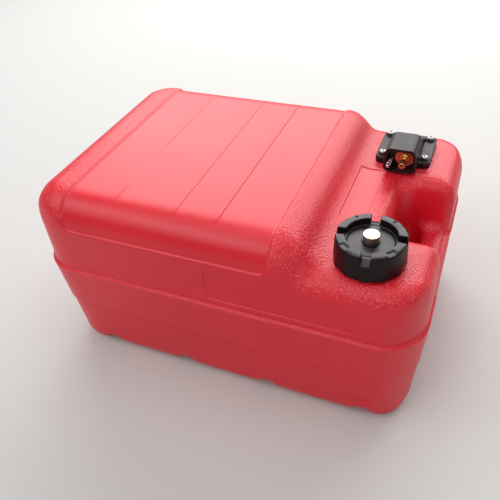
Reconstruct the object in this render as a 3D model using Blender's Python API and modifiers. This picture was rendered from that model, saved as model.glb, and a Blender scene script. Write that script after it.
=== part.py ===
"""Outboard fuel tank: a blow-moulded tank with a vented screw cap and a fuel withdrawal fitting.

Lengths are in metres. X runs to the end with the cap, Y to the fitting's side, and Z up.
The origin is on the floor under the middle of the tank.
"""

import math

import bmesh
import bpy
from mathutils import Matrix, Vector

mm = 0.001

# Clearances shared by the whole part
seat_gap = 0.3 * mm
cut_overrun = 20 * mm
same_place = 0.01 * mm

# Tank body, outside
tank_length = 500 * mm
tank_width = 348 * mm
deck_height = 222 * mm
top_rise = 33 * mm
tank_wall = 4 * mm
corner_radius = 52 * mm
top_edge_radius = 38 * mm
deck_edge_radius = 24 * mm
base_edge_radius = 18 * mm
slope_from_front = 126 * mm
slope_run = 28 * mm
slope_top_radius = 40 * mm
slope_foot_radius = 30 * mm

# How far the side stands in from its widest line, at five heights
base_inset = 8.5 * mm
band_height = 84 * mm
band_inset = 3.7 * mm
shoulder_height = 147 * mm
ledge_height = 152 * mm
ledge_inset = 2 * mm
top_inset = 3.6 * mm

# Carrying handle: a bar left standing in a pocket of the front end
pocket_reach = 74 * mm
pocket_to_neck = 51 * mm
pocket_to_fitting = 57.5 * mm
pocket_rim_radius = 17 * mm
pocket_corner_radius = 24 * mm
pocket_mouth_radius = 20 * mm
pocket_floor_radius = 12 * mm
bar_width = 36 * mm
bar_drop = 67 * mm
bar_thickness = 38 * mm
finger_room = 39 * mm
bar_radius = 16 * mm
bar_end_radius = 11 * mm

# Smooth panel that is sunk into the top and wraps down both long sides
panel_depth = 3 * mm
panel_rear_margin = 60 * mm
panel_front_margin = 16 * mm
panel_side_drop = 40 * mm
panel_corner_radius = 12 * mm
rib_place_shares = (0.24, 0.54, 0.74)
rib_end_margin = 31 * mm
rib_width = 1.6 * mm
rib_height = 0.8 * mm

# Bare label fields, and the grooves across the underside
label_depth = 0.8 * mm
side_label_length = 176 * mm
side_label_from_front = 74 * mm
side_label_drop = 23 * mm
side_label_above_ledge = 7 * mm
deck_label_after_slope = 3 * mm
deck_label_to_pocket = 18 * mm
deck_label_to_neck = 62 * mm
deck_label_to_fitting = 46.5 * mm
groove_count = 4
groove_pitch = 123 * mm
groove_shift = 5 * mm
groove_radius = 11 * mm

# Filler neck and its thread
neck_from_front = 74 * mm
neck_from_side = 57 * mm
neck_bore_radius = 26 * mm
neck_radius = 30.8 * mm
neck_height = 20 * mm
boss_radius = 35 * mm
boss_height = 1.2 * mm
thread_depth = 2.2 * mm
thread_root = 4 * mm
thread_crest = 1.8 * mm
thread_pitch = 8 * mm
thread_start = 4.5 * mm
thread_turns = 1.5
thread_end_share = 0.05
thread_steps = 32

# Filler cap
cap_radius = 39 * mm
cap_side_count = 12
cap_top_taper = 1.6 * mm
cap_top_radius = 2.6 * mm
cap_skirt_gap = 1.3 * mm
cap_wall = 4.6 * mm
cap_roof = 3 * mm
cap_ring_height = 7.8 * mm
cap_ring_inner_radius = 27.5 * mm
cap_plateau_radius = 24.5 * mm
cap_plateau_step = 0.6 * mm
cap_turn_at_rest = math.radians(4)
cap_edge_radius = 1 * mm
slot_count = 4
slot_width = 10 * mm
slot_ramp_drop = 10 * mm
slot_ramp_depth = 2.6 * mm
notch_width = 9.5 * mm
notch_depth = 2.2 * mm
gasket_thickness = 2.6 * mm
gasket_radius = 33.4 * mm
liner_gap = 0.6 * mm
liner_wall = 2 * mm
liner_drop = 7 * mm

# Vent in the middle of the cap
vent_head_radius = 9 * mm
vent_head_height = 6.6 * mm
vent_rib_count = 24
vent_rib_depth = 0.4 * mm
vent_stem_radius = 3 * mm
vent_stem_end_radius = 2.2 * mm
vent_travel = 2 * mm
bush_flange_radius = 10 * mm
bush_barrel_radius = 8 * mm
bush_flange_height = 1.8 * mm
vent_seal_radius = 6.4 * mm
vent_seal_height = 1.4 * mm
clip_radius = 5 * mm
clip_thickness = 1 * mm

# Fuel withdrawal fitting: plate, hood and spigot
fitting_from_front = 77.3 * mm
fitting_from_side = 69.75 * mm
plate_length = 70 * mm
plate_width = 69.5 * mm
plate_thickness = 6.5 * mm
plate_corner_radius = 8 * mm
plate_edge_radius = 1.5 * mm
pad_margin = 3 * mm
pad_height = 1 * mm
fitting_gasket_thickness = 1.5 * mm
hood_front_reach = 54.25 * mm
hood_back_reach = 11.25 * mm
hood_toe_reach = 27.75 * mm
hood_rise = 26.4 * mm
hood_top_half_width = 18.2 * mm
hood_foot_half_width = 20.4 * mm
hood_foot_radius = 7 * mm
hood_edge_radius = 7 * mm
mouth_half_width = 17.2 * mm
mouth_top_half_width = 15.2 * mm
mouth_roof = 3.5 * mm
mouth_floor = 2 * mm
mouth_corner_radius = 6 * mm
mouth_depth = 16 * mm
screw_boss_radius = 6.4 * mm
screw_boss_height = 2 * mm
spigot_offset_x = 3.3 * mm
spigot_offset_y = 12.25 * mm
spigot_radius = 10 * mm
spigot_length = 17 * mm
barb_radius = 4 * mm
barb_length = 14 * mm
fuel_way_radius = 2.2 * mm

# Screws into moulded-in brass inserts
screw_spread_x = 26.4 * mm
screw_near_reach = 24.25 * mm
screw_far_reach = 25.35 * mm
screw_radius = 2.4 * mm
screw_head_radius = 4.6 * mm
screw_head_height = 2.4 * mm
head_side_share = 0.45
head_bend_share = 0.86
head_bend_rise_share = 0.85
head_crown_share = 0.62
screw_recess_width = 1.3 * mm
screw_recess_length = 5.2 * mm
screw_recess_depth = 1.6 * mm
screw_reach = 8.5 * mm
insert_radius = 4.4 * mm
insert_length = 10 * mm
insert_groove_width = 2 * mm
insert_groove_depth = 0.6 * mm
insert_boss_wall = 2.6 * mm

# Connector: red disc, nipple with its check valve, and the guide pin
disc_radius = 12 * mm
disc_thickness = 3 * mm
disc_rise = 12.9 * mm
nipple_offset = 3.8 * mm
nipple_reach = 5 * mm
nipple_to_spigot = 8 * mm
nipple_thread_radius = 5 * mm
nipple_collar_radius = 6.5 * mm
nipple_collar_thickness = 3 * mm
nipple_shaft_radius = 3.3 * mm
nipple_groove_radius = 2.9 * mm
nipple_groove_width = 2.2 * mm
nipple_tip_radius = 4 * mm
nipple_tip_length = 10 * mm
nipple_mouth_radius = 2 * mm
nipple_bore_radius = 2.5 * mm
nipple_seat_depth = 4 * mm
spring_seat_depth = 16 * mm
spring_back_radius = 1.2 * mm
o_ring_thickness = 0.9 * mm
poppet_stem_radius = 1.3 * mm
poppet_head_radius = 2.1 * mm
poppet_head_length = 3 * mm
poppet_tip_depth = 1 * mm
spring_wire_radius = 0.3 * mm
spring_radius = 1.6 * mm
spring_coils = 5
pin_offset = 13.2 * mm
pin_drop = 1.5 * mm
pin_reach = 8 * mm
pin_to_spigot = 12 * mm
pin_radius = 3 * mm
pin_neck_radius = 2.3 * mm
pin_nose_radius = 1.6 * mm
pin_step_length = 6 * mm

# Pick-up tube inside the tank
tube_wall = 1.6 * mm
strainer_wall = 1.8 * mm
strainer_length = 24 * mm
strainer_floor_gap = 17 * mm
strainer_window_count = 8
strainer_window_width = 2.6 * mm
strainer_window_height = 6.5 * mm
strainer_window_foot = 2.6 * mm

# Places that follow from these sizes
half_length = tank_length / 2
half_width = tank_width / 2
tank_height = deck_height + top_rise
slope_foot = half_length - slope_from_front
slope_top = slope_foot - slope_run
slope_angle = math.atan2(top_rise, slope_run)
neck_x = half_length - neck_from_front
neck_y = neck_from_side - half_width
fitting_x = half_length - fitting_from_front
fitting_y = half_width - fitting_from_side
spigot_x = fitting_x + spigot_offset_x
spigot_y = fitting_y - spigot_offset_y
bar_rear = half_length - bar_width
bar_top = deck_height - bar_drop
bar_bottom = bar_top - bar_thickness
pocket_rear = half_length - pocket_reach
pocket_near = neck_y + pocket_to_neck
pocket_far = fitting_y - pocket_to_fitting
pocket_floor = bar_bottom - finger_room
panel_rear = panel_rear_margin - half_length
panel_front = slope_top - panel_front_margin
panel_bottom = tank_height - panel_side_drop
rib_half_length = half_width - rib_end_margin
side_label_front = half_length - side_label_from_front
side_label_rear = side_label_front - side_label_length
side_label_bottom = ledge_height + side_label_above_ledge
side_label_top = deck_height - side_label_drop
deck_label_rear = slope_foot + deck_label_after_slope
deck_label_front = pocket_rear - deck_label_to_pocket
deck_label_near = neck_y + deck_label_to_neck
deck_label_far = fitting_y - deck_label_to_fitting
gasket_top = neck_height + seat_gap + gasket_thickness
cap_ceiling = gasket_top + seat_gap
dish_floor = cap_ceiling + cap_roof
cap_top = dish_floor + cap_ring_height
cap_bottom = boss_height + cap_skirt_gap
pad_top = deck_height + pad_height
plate_bottom = pad_top + 2 * seat_gap + fitting_gasket_thickness
plate_top = plate_bottom + plate_thickness
screw_seat = plate_top + screw_boss_height
screw_near = fitting_y - screw_near_reach
screw_far = fitting_y + screw_far_reach
hood_front = fitting_y - hood_front_reach
hood_back = fitting_y - hood_back_reach
hood_toe = fitting_y + hood_toe_reach
hood_top = plate_top + hood_rise
mouth_face = hood_front + mouth_depth
disc_height = plate_bottom + disc_rise
nipple_x = fitting_x + nipple_offset
nipple_tip = hood_front - nipple_reach
nipple_root = spigot_y - nipple_to_spigot
spring_seat = nipple_root - spring_seat_depth
pin_x = fitting_x - pin_offset
pin_height = disc_height - pin_drop
pin_tip = hood_front - pin_reach
pin_root = spigot_y - pin_to_spigot


def clear_scene():
    for old in list(bpy.data.objects):
        bpy.data.objects.remove(old, do_unlink=True)


def make_collection(name, helper=False):
    collection = bpy.data.collections.new(name)
    bpy.context.scene.collection.children.link(collection)
    collection.hide_render = helper
    return collection


clear_scene()
parts = make_collection("outboard_fuel_tank")
cutters = make_collection("cutters", helper=True)


def make_material(name, colour, roughness, metallic=0.0):
    material = bpy.data.materials.new(name)
    material.use_nodes = True
    shader = material.node_tree.nodes["Principled BSDF"]
    shader.inputs["Base Color"].default_value = (*colour, 1.0)
    shader.inputs["Roughness"].default_value = roughness
    shader.inputs["Metallic"].default_value = metallic
    material.diffuse_color = (*colour, 1.0)
    return material


red_polyethylene = make_material("red_polyethylene", (0.68, 0.03, 0.045), 0.42)
black_nylon = make_material("black_nylon", (0.022, 0.02, 0.02), 0.45)
black_rubber = make_material("black_rubber", (0.015, 0.015, 0.015), 0.8)
white_polyethylene = make_material("white_polyethylene", (0.75, 0.74, 0.7), 0.5)
red_nylon = make_material("red_nylon", (0.6, 0.03, 0.015), 0.5)
brass = make_material("brass", (0.75, 0.55, 0.2), 0.3, 1.0)
bright_steel = make_material("bright_steel", (0.7, 0.7, 0.68), 0.25, 1.0)


# Modelling helpers

def make_object(name, mesh_data, material=None):
    """A new object from bmesh data; without a material it is a cutter."""
    mesh = bpy.data.meshes.new(name)
    bmesh.ops.recalc_face_normals(mesh_data, faces=mesh_data.faces[:])
    mesh_data.to_mesh(mesh)
    mesh_data.free()
    shape = bpy.data.objects.new(name, mesh)
    if material:
        mesh.materials.append(material)
        parts.objects.link(shape)
    else:
        shape.display_type = "WIRE"
        shape.hide_render = True
        cutters.objects.link(shape)
    return shape


def box(name, low, high, material=None):
    """An upright box between two corners."""
    low, high = Vector(low), Vector(high)
    size = high - low
    place = Matrix.Translation((low + high) / 2) @ Matrix.Diagonal((*size, 1.0))
    data = bmesh.new()
    bmesh.ops.create_cube(data, size=1.0, matrix=place)
    return make_object(name, data, material)


def cylinder(name, radius, start, end, material=None, sides=24):
    """A round bar from one point to another."""
    start, end = Vector(start), Vector(end)
    along = end - start
    turn = Vector((0, 0, 1)).rotation_difference(along).to_matrix().to_4x4()
    data = bmesh.new()
    bmesh.ops.create_cone(
        data,
        cap_ends=True,
        segments=sides,
        radius1=radius,
        radius2=radius,
        depth=along.length,
        matrix=Matrix.Translation((start + end) / 2) @ turn,
    )
    return make_object(name, data, material)


def prism(name, outline, place, start, end, material=None):
    """A flat outline swept from start to end; place turns (across, up, along) into a point."""
    data = bmesh.new()
    corners = [data.verts.new(place(across, up, start)) for across, up in outline]
    data.faces.new(corners)
    swept = bmesh.ops.extrude_face_region(data, geom=data.faces[:])
    moved = [item for item in swept["geom"] if isinstance(item, bmesh.types.BMVert)]
    step = Vector(place(0, 0, end)) - Vector(place(0, 0, start))
    bmesh.ops.translate(data, verts=moved, vec=step)
    return make_object(name, data, material)


def along_y(x, z, y):
    return (x, y, z)


def along_x(y, z, x):
    return (x, y, z)


def turned(name, outline, material=None, steps=36):
    """A shape turned about Z from (radius, height) points; a closed ring unless it meets the axis."""
    data = bmesh.new()
    points = [data.verts.new((radius, 0, height)) for radius, height in outline]
    for first, second in zip(points, points[1:]):
        data.edges.new((first, second))
    if outline[0][0] > 0 or outline[-1][0] > 0:
        data.edges.new((points[-1], points[0]))
    bmesh.ops.spin(
        data,
        geom=data.verts[:] + data.edges[:],
        cent=(0, 0, 0),
        axis=(0, 0, 1),
        angle=math.tau,
        steps=steps,
        use_merge=True,
    )
    bmesh.ops.remove_doubles(data, verts=data.verts[:], dist=same_place)
    return make_object(name, data, material)


def place_at(shape, location, towards=(0, 0, 1)):
    """Moves a turned shape so that its Z points along towards."""
    shape.location = location
    shape.rotation_mode = "QUATERNION"
    shape.rotation_quaternion = Vector((0, 0, 1)).rotation_difference(Vector(towards))
    return shape


def boolean(shape, tool, operation="DIFFERENCE"):
    modifier = shape.modifiers.new(tool.name, "BOOLEAN")
    modifier.operation = operation
    modifier.solver = "EXACT"
    modifier.object = tool
    return shape


def bevel(shape, width, segments=2, angle=math.radians(35)):
    modifier = shape.modifiers.new("edge_radius", "BEVEL")
    modifier.width = width
    modifier.segments = segments
    modifier.limit_method = "ANGLE"
    modifier.angle_limit = angle
    modifier.use_clamp_overlap = True
    return shape


def apply_modifiers(shape):
    """Writes the evaluated mesh back, so that later steps can edit it."""
    bpy.context.view_layer.update()
    graph = bpy.context.evaluated_depsgraph_get()
    mesh = bpy.data.meshes.new_from_object(shape.evaluated_get(graph), depsgraph=graph)
    old = shape.data
    shape.modifiers.clear()
    shape.data = mesh
    bpy.data.meshes.remove(old)
    return shape


def arc(centre, radius, start, end, steps):
    """Points on an arc, in degrees from start to end."""
    turns = (math.radians(start + (end - start) * step / steps) for step in range(steps + 1))
    return [(centre[0] + radius * math.cos(turn), centre[1] + radius * math.sin(turn)) for turn in turns]


# Tank body

def tank_outline(inset):
    """The body from the side, in by inset."""
    lean = inset * math.tan(slope_angle / 2)
    return [
        (-half_length + inset, inset),
        (half_length - inset, inset),
        (half_length - inset, deck_height - inset),
        (slope_foot - lean, deck_height - inset),
        (slope_top - lean, tank_height - inset),
        (-half_length + inset, tank_height - inset),
    ]


def pocket_outline(inset):
    """The handle pocket from the side: down behind the bar and out under it."""
    front = half_length + cut_overrun
    return [
        (pocket_rear - inset, pocket_floor - inset),
        (front, pocket_floor - inset),
        (front, bar_bottom + inset),
        (bar_rear + inset, bar_bottom + inset),
        (bar_rear + inset, bar_top - inset),
        (front, bar_top - inset),
        (front, tank_height + cut_overrun),
        (pocket_rear - inset, tank_height + cut_overrun),
    ]


def pocket_edge_radius(middle, along, inset):
    """The rounding of an edge of the handle pocket."""
    at_front = middle.x > half_length - inset - same_place
    at_bar = middle.x > bar_rear - same_place and middle.z > bar_bottom - same_place
    if middle.z > deck_height - inset - same_place:
        return pocket_rim_radius
    if along == "z":
        if at_front:
            return pocket_mouth_radius
        return bar_end_radius if middle.x > bar_rear - same_place else pocket_corner_radius
    if along == "x":
        return bar_end_radius if at_bar else pocket_floor_radius
    return bar_radius if at_bar else pocket_floor_radius


def outer_edge_radius(middle, along, inset):
    """The rounding of an edge of the plain block."""
    if along == "z" and abs(middle.x) > slope_foot:
        return corner_radius
    if along == "z":
        return (top_edge_radius + deck_edge_radius) / 2
    if middle.z < inset + same_place:
        return base_edge_radius
    if along == "y" and abs(middle.x - slope_top) < tank_wall:
        return slope_top_radius
    if along == "y" and abs(middle.x - slope_foot) < tank_wall:
        return slope_foot_radius
    return top_edge_radius if middle.z > deck_height + tank_wall else deck_edge_radius


def round_block(block, inset, segments):
    """Rounds each edge of the block by its own radius."""
    data = bmesh.new()
    data.from_mesh(block.data)
    bmesh.ops.dissolve_limit(data, angle_limit=math.radians(1), verts=data.verts[:], edges=data.edges[:])
    weights = data.edges.layers.float.new("bevel_weight_edge")
    for edge in data.edges:
        turn = edge.calc_face_angle(0)
        if turn < math.radians(5):
            continue
        middle = (edge.verts[0].co + edge.verts[1].co) / 2
        run = edge.verts[1].co - edge.verts[0].co
        along = max("xyz", key=lambda axis: abs(getattr(run, axis)))
        in_pocket = (
            middle.x > pocket_rear - inset - same_place
            and pocket_near - inset - same_place < middle.y < pocket_far + inset + same_place
            and middle.z > pocket_floor - inset - same_place
        )
        if in_pocket and not (along == "y" and middle.z > deck_height - tank_wall and middle.x > bar_rear):
            radius = pocket_edge_radius(middle, along, inset)
        else:
            radius = outer_edge_radius(middle, along, inset)
        radius += -inset if edge.is_convex else inset
        edge[weights] = radius * math.tan(turn / 2) / corner_radius
    data.to_mesh(block.data)
    data.free()
    modifier = block.modifiers.new("rounding", "BEVEL")
    modifier.width = corner_radius
    modifier.limit_method = "WEIGHT"
    modifier.segments = segments
    modifier.use_clamp_overlap = False
    return apply_modifiers(block)


def panel_cutter(inset):
    """A saddle over the top and both sides, less the smooth panel that it leaves."""
    depth = inset + panel_depth
    side = half_width - depth
    top = tank_height - depth
    radius = top_edge_radius - depth
    bottom = panel_bottom - inset
    outside = half_width + cut_overrun
    outline = [(outside, bottom), (side, bottom)]
    outline += arc((side - radius, top - radius), radius, 0, 90, 8)
    outline += arc((radius - side, top - radius), radius, 90, 180, 8)
    outline += [(-side, bottom), (-outside, bottom)]
    outline += [(-outside, tank_height + cut_overrun), (outside, tank_height + cut_overrun)]
    saddle = prism("panel_cut", outline, along_x, panel_rear - inset, panel_front + inset)
    data = bmesh.new()
    data.from_mesh(saddle.data)
    lower_corners = []
    for edge in data.edges:
        first, second = (vert.co for vert in edge.verts)
        level = abs(first.z - bottom) < same_place and abs(second.z - bottom) < same_place
        if level and abs(first.x - second.x) < same_place:
            lower_corners.append(edge)
    bmesh.ops.bevel(
        data,
        geom=lower_corners,
        offset=panel_corner_radius,
        segments=4,
        profile=0.5,
        affect="EDGES",
    )
    data.to_mesh(saddle.data)
    data.free()
    return saddle


def groove_cutters(inset):
    first = groove_shift - groove_pitch * (groove_count - 1) / 2
    grooves = []
    for number in range(groove_count):
        x = first + number * groove_pitch
        reach = half_width + cut_overrun
        name = f"groove_cut_{number + 1}"
        grooves.append(cylinder(name, groove_radius + inset, (x, -reach, 0), (x, reach, 0)))
    return grooves


def side_inset(height):
    """How far the side stands in from its widest line at a height."""
    stations = [
        (0, base_inset),
        (band_height, band_inset),
        (shoulder_height, 0),
        (ledge_height, ledge_inset),
        (tank_height, top_inset),
    ]
    for (low, low_inset), (high, high_inset) in zip(stations, stations[1:]):
        if height <= high:
            share = (height - low) / (high - low)
            return low_inset + (high_inset - low_inset) * share
    return top_inset


def draw_in_sides(block):
    """Gives the upright sides their band, shoulder and draft."""
    data = bmesh.new()
    data.from_mesh(block.data)
    for height in (band_height, shoulder_height, ledge_height):
        everything = data.verts[:] + data.edges[:] + data.faces[:]
        bmesh.ops.bisect_plane(data, geom=everything, plane_co=(0, 0, height), plane_no=(0, 0, 1))
    for vert in data.verts:
        inset = side_inset(vert.co.z)
        vert.co.x *= 1 - inset / half_length
        vert.co.y *= 1 - inset / half_width
    data.to_mesh(block.data)
    data.free()
    return block


def tank_blank(name, inset, segments, material=None):
    """The whole moulded form, in by inset: once as the outside and once as the inside."""
    block = prism(name, tank_outline(inset), along_y, -half_width + inset, half_width - inset, material)
    pocket = prism("pocket_cut", pocket_outline(inset), along_y, pocket_near - inset, pocket_far + inset)
    apply_modifiers(boolean(block, pocket))
    round_block(block, inset, segments)
    tools = groove_cutters(inset) + [panel_cutter(inset)]
    for tool in tools:
        boolean(block, tool)
    if not inset:
        side = -half_width
        tools.append(box(
            "side_label_cut",
            (side_label_rear, side - cut_overrun, side_label_bottom),
            (side_label_front, side + label_depth, side_label_top),
        ))
        boolean(block, tools[-1])
    apply_modifiers(block)
    for tool in [pocket] + tools:
        bpy.data.objects.remove(tool, do_unlink=True)
    return draw_in_sides(block)


def neck_thread():
    """One helical ridge round the filler neck."""
    data = bmesh.new()
    rise_per_step = thread_pitch / thread_steps
    count = round(thread_turns * thread_steps)
    root = neck_radius - seat_gap
    rings = []
    for step in range(count + 1):
        turn = math.tau * step / thread_steps
        height = thread_start + step * rise_per_step
        fade = min(1, step / 4, (count - step) / 4)
        crest = neck_radius + thread_depth * max(fade, thread_end_share)
        section = [
            (root, height - thread_root / 2),
            (crest, height - thread_crest / 2),
            (crest, height + thread_crest / 2),
            (root, height + thread_root / 2),
        ]
        rings.append([data.verts.new((r * math.cos(turn), r * math.sin(turn), h)) for r, h in section])
    for first, second in zip(rings, rings[1:]):
        for corner in range(4):
            after = (corner + 1) % 4
            data.faces.new((first[corner], second[corner], second[after], first[after]))
    data.faces.new(rings[0])
    data.faces.new(reversed(rings[-1]))
    return place_at(make_object("neck_thread", data), (neck_x, neck_y, deck_height))


def build_tank():
    tank = tank_blank("tank_body", 0, 4, red_polyethylene)
    inside = tank_blank("tank_inside", tank_wall, 3)
    boolean(tank, inside)

    neck = turned("neck_form", [
        (0, -tank_wall),
        (boss_radius, -tank_wall),
        (boss_radius, boss_height),
        (neck_radius, boss_height),
        (neck_radius, neck_height),
        (0, neck_height),
    ])
    place_at(neck, (neck_x, neck_y, deck_height))
    boolean(tank, neck, "UNION")
    boolean(tank, neck_thread(), "UNION")

    pad = prism(
        "fitting_pad",
        rounded_rectangle(
            plate_length / 2 + pad_margin,
            plate_width / 2 + pad_margin,
            plate_corner_radius + pad_margin,
        ),
        lambda across, up, along: (fitting_x + across, fitting_y + up, along),
        deck_height - tank_wall / 2,
        pad_top,
    )
    boolean(tank, pad, "UNION")
    for number, (x, y) in enumerate(screw_places(), 1):
        boss_bottom = pad_top - insert_length - insert_boss_wall
        boss = cylinder(
            f"insert_boss_{number}",
            insert_radius + insert_boss_wall,
            (x, y, boss_bottom),
            (x, y, pad_top - pad_height),
            sides=16,
        )
        boolean(tank, boss, "UNION")
        hole = cylinder(
            f"insert_hole_{number}",
            insert_radius + seat_gap,
            (x, y, pad_top - insert_length - seat_gap),
            (x, y, pad_top + cut_overrun),
            sides=16,
        )
        boolean(tank, hole)

    port = cylinder(
        "fitting_port",
        spigot_radius + 2 * seat_gap,
        (spigot_x, spigot_y, deck_height - top_edge_radius),
        (spigot_x, spigot_y, pad_top + cut_overrun),
    )
    boolean(tank, port)
    label = box(
        "deck_label_cut",
        (deck_label_rear, deck_label_near, deck_height - label_depth),
        (deck_label_front, deck_label_far, deck_height + cut_overrun),
    )
    boolean(tank, label)
    panel_top = tank_height - panel_depth
    for number, share in enumerate(rib_place_shares, 1):
        x = panel_rear + (panel_front - panel_rear) * share
        rib = prism(
            f"top_rib_{number}",
            rounded_rectangle(rib_width / 2, rib_half_length, rib_width / 2 - same_place),
            lambda across, up, along, x=x: (x + across, up, along),
            panel_top - tank_wall / 2,
            panel_top + rib_height,
        )
        boolean(tank, rib, "UNION")

    bore = cylinder(
        "neck_bore",
        neck_bore_radius,
        (neck_x, neck_y, deck_height - top_edge_radius),
        (neck_x, neck_y, deck_height + neck_height + cut_overrun),
        sides=48,
    )
    boolean(tank, bore)
    return tank


def rounded_rectangle(half_x, half_y, radius):
    """A rectangle with round corners, about the origin."""
    x, y = half_x - radius, half_y - radius
    return (
        arc((x, y), radius, 0, 90, 4)
        + arc((-x, y), radius, 90, 180, 4)
        + arc((-x, -y), radius, 180, 270, 4)
        + arc((x, -y), radius, 270, 360, 4)
    )


def screw_places():
    """The four fixing screws of the fitting, as (x, y)."""
    return [(fitting_x + side * screw_spread_x, y) for y in (screw_near, screw_far) for side in (-1, 1)]


# Filler cap, its seal and its vent

def about_cap(turn):
    return Matrix.Rotation(turn + cap_turn_at_rest, 4, "Z")


def cap_cutter(name, low, high, turn):
    """A box cutter set on the cap's X axis and turned about the cap."""
    cutter = box(name, low, high)
    cutter.data.transform(about_cap(turn))
    cutter.location = (neck_x, neck_y, deck_height)
    return cutter


def build_cap():
    inner = cap_radius - cap_wall
    top_edge = cap_radius - cap_top_taper - cap_top_radius
    cap = turned("cap_shell", [
        (inner, cap_bottom),
        (cap_radius, cap_bottom),
        *arc((top_edge, cap_top - cap_top_radius), cap_top_radius, 0, 90, 3),
        (cap_ring_inner_radius, cap_top),
        (cap_ring_inner_radius - cap_plateau_step, dish_floor - cap_plateau_step),
        (cap_plateau_radius + cap_plateau_step, dish_floor - cap_plateau_step),
        (cap_plateau_radius, dish_floor),
        (bush_barrel_radius + seat_gap, dish_floor),
        (bush_barrel_radius + seat_gap, cap_ceiling),
        (inner, cap_ceiling),
    ], black_nylon)
    place_at(cap, (neck_x, neck_y, deck_height))

    sides = cylinder(
        "cap_sides",
        (cap_radius + cap_edge_radius / 2) / math.cos(math.pi / cap_side_count / 2),
        (0, 0, cap_bottom - cut_overrun),
        (0, 0, cap_top + cut_overrun),
        sides=cap_side_count,
    )
    sides.data.transform(about_cap(math.pi / 4 + math.pi / cap_side_count))
    sides.location = cap.location
    boolean(cap, sides, "INTERSECT")

    for number in range(slot_count):
        turn = math.tau * number / slot_count
        boolean(cap, cap_cutter(
            f"slot_cut_{number + 1}",
            (cap_ring_inner_radius - cap_wall, -slot_width / 2, dish_floor),
            (cap_radius + cut_overrun, slot_width / 2, cap_top + cut_overrun),
            turn,
        ))
        ramp_end = cap_radius + slot_ramp_depth
        ramp = prism(
            f"slot_ramp_{number + 1}",
            [
                (cap_radius - 2 * slot_ramp_depth, cap_top),
                (cap_radius - 2 * slot_ramp_depth, dish_floor),
                (cap_radius, dish_floor - slot_ramp_drop),
                (ramp_end, dish_floor - slot_ramp_drop),
                (ramp_end, cap_top),
            ],
            along_y,
            -slot_width / 2,
            slot_width / 2,
        )
        ramp.data.transform(about_cap(turn))
        ramp.location = cap.location
        boolean(cap, ramp)
        boolean(cap, cap_cutter(
            f"notch_cut_{number + 1}",
            (cap_radius - notch_depth - cap_edge_radius, -notch_width / 2, cap_top - notch_depth),
            (cap_radius + cut_overrun, notch_width / 2, cap_top + cut_overrun),
            turn + math.pi / slot_count,
        ))

    gasket_inner = neck_bore_radius - liner_gap + seat_gap
    gasket = turned("cap_gasket", [
        (gasket_inner, neck_height + seat_gap),
        (gasket_radius, neck_height + seat_gap),
        (gasket_radius, gasket_top),
        (gasket_inner, gasket_top),
    ], black_rubber)
    place_at(gasket, cap.location)

    plug = neck_bore_radius - liner_gap
    stem_hole = vent_stem_radius + seat_gap
    liner = turned("cap_liner", [
        (stem_hole, gasket_top),
        (plug, gasket_top),
        (plug, gasket_top - liner_drop),
        (plug - liner_wall, gasket_top - liner_drop),
        (plug - liner_wall, gasket_top - liner_wall),
        (stem_hole, gasket_top - liner_wall),
    ], white_polyethylene)
    place_at(liner, cap.location)
    return cap


def build_vent():
    place = (neck_x, neck_y, deck_height)
    stem_hole = vent_stem_radius + seat_gap
    flange_bottom = dish_floor + seat_gap
    flange_top = flange_bottom + bush_flange_height
    seal_floor = flange_top - vent_seal_height
    bush = turned("vent_bush", [
        (stem_hole, cap_ceiling + seat_gap),
        (bush_barrel_radius, cap_ceiling + seat_gap),
        (bush_barrel_radius, flange_bottom),
        (bush_flange_radius, flange_bottom),
        (bush_flange_radius - cap_edge_radius, flange_top),
        (vent_seal_radius + seat_gap, flange_top),
        (vent_seal_radius + seat_gap, seal_floor),
        (stem_hole, seal_floor),
    ], black_nylon)
    place_at(bush, place)

    seal_bottom = seal_floor + seat_gap
    seal_top = seal_bottom + vent_seal_height
    seal = turned("vent_seal", [
        (stem_hole, seal_bottom),
        (vent_seal_radius, seal_bottom),
        (vent_seal_radius, seal_top),
        (stem_hole, seal_top),
    ], black_rubber)
    place_at(seal, place)

    clip_top = gasket_top - liner_wall - vent_travel - seat_gap
    clip_bottom = clip_top - clip_thickness
    head_bottom = seal_top + seat_gap
    head_top = head_bottom + vent_head_height
    end_step = vent_stem_radius - vent_stem_end_radius
    knob = turned("vent_knob", [
        (0, clip_bottom - clip_thickness),
        (vent_stem_end_radius, clip_bottom - clip_thickness),
        (vent_stem_end_radius, clip_top + seat_gap),
        (vent_stem_radius, clip_top + seat_gap + end_step),
        (vent_stem_radius, head_bottom),
        (vent_head_radius, head_bottom),
        (vent_head_radius, head_top - vent_rib_depth),
        (vent_head_radius - vent_rib_depth, head_top),
        (0, head_top),
    ], brass, steps=48)
    place_at(knob, place)
    for number in range(vent_rib_count):
        turn = math.tau * number / vent_rib_count
        pitch = math.tau * vent_head_radius / vent_rib_count
        flute = box(
            f"knurl_cut_{number + 1}",
            (vent_head_radius - vent_rib_depth, -pitch / 4, head_bottom + 2 * vent_rib_depth),
            (vent_head_radius + cut_overrun, pitch / 4, head_top - 3 * vent_rib_depth),
        )
        flute.data.transform(Matrix.Rotation(turn, 4, "Z"))
        flute.location = place
        boolean(knob, flute)

    clip = turned("vent_clip", [
        (vent_stem_end_radius + seat_gap / 3, clip_bottom),
        (clip_radius, clip_bottom),
        (clip_radius, clip_top),
        (vent_stem_end_radius + seat_gap / 3, clip_top),
    ], bright_steel, steps=24)
    place_at(clip, place)


# Fuel withdrawal fitting

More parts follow.
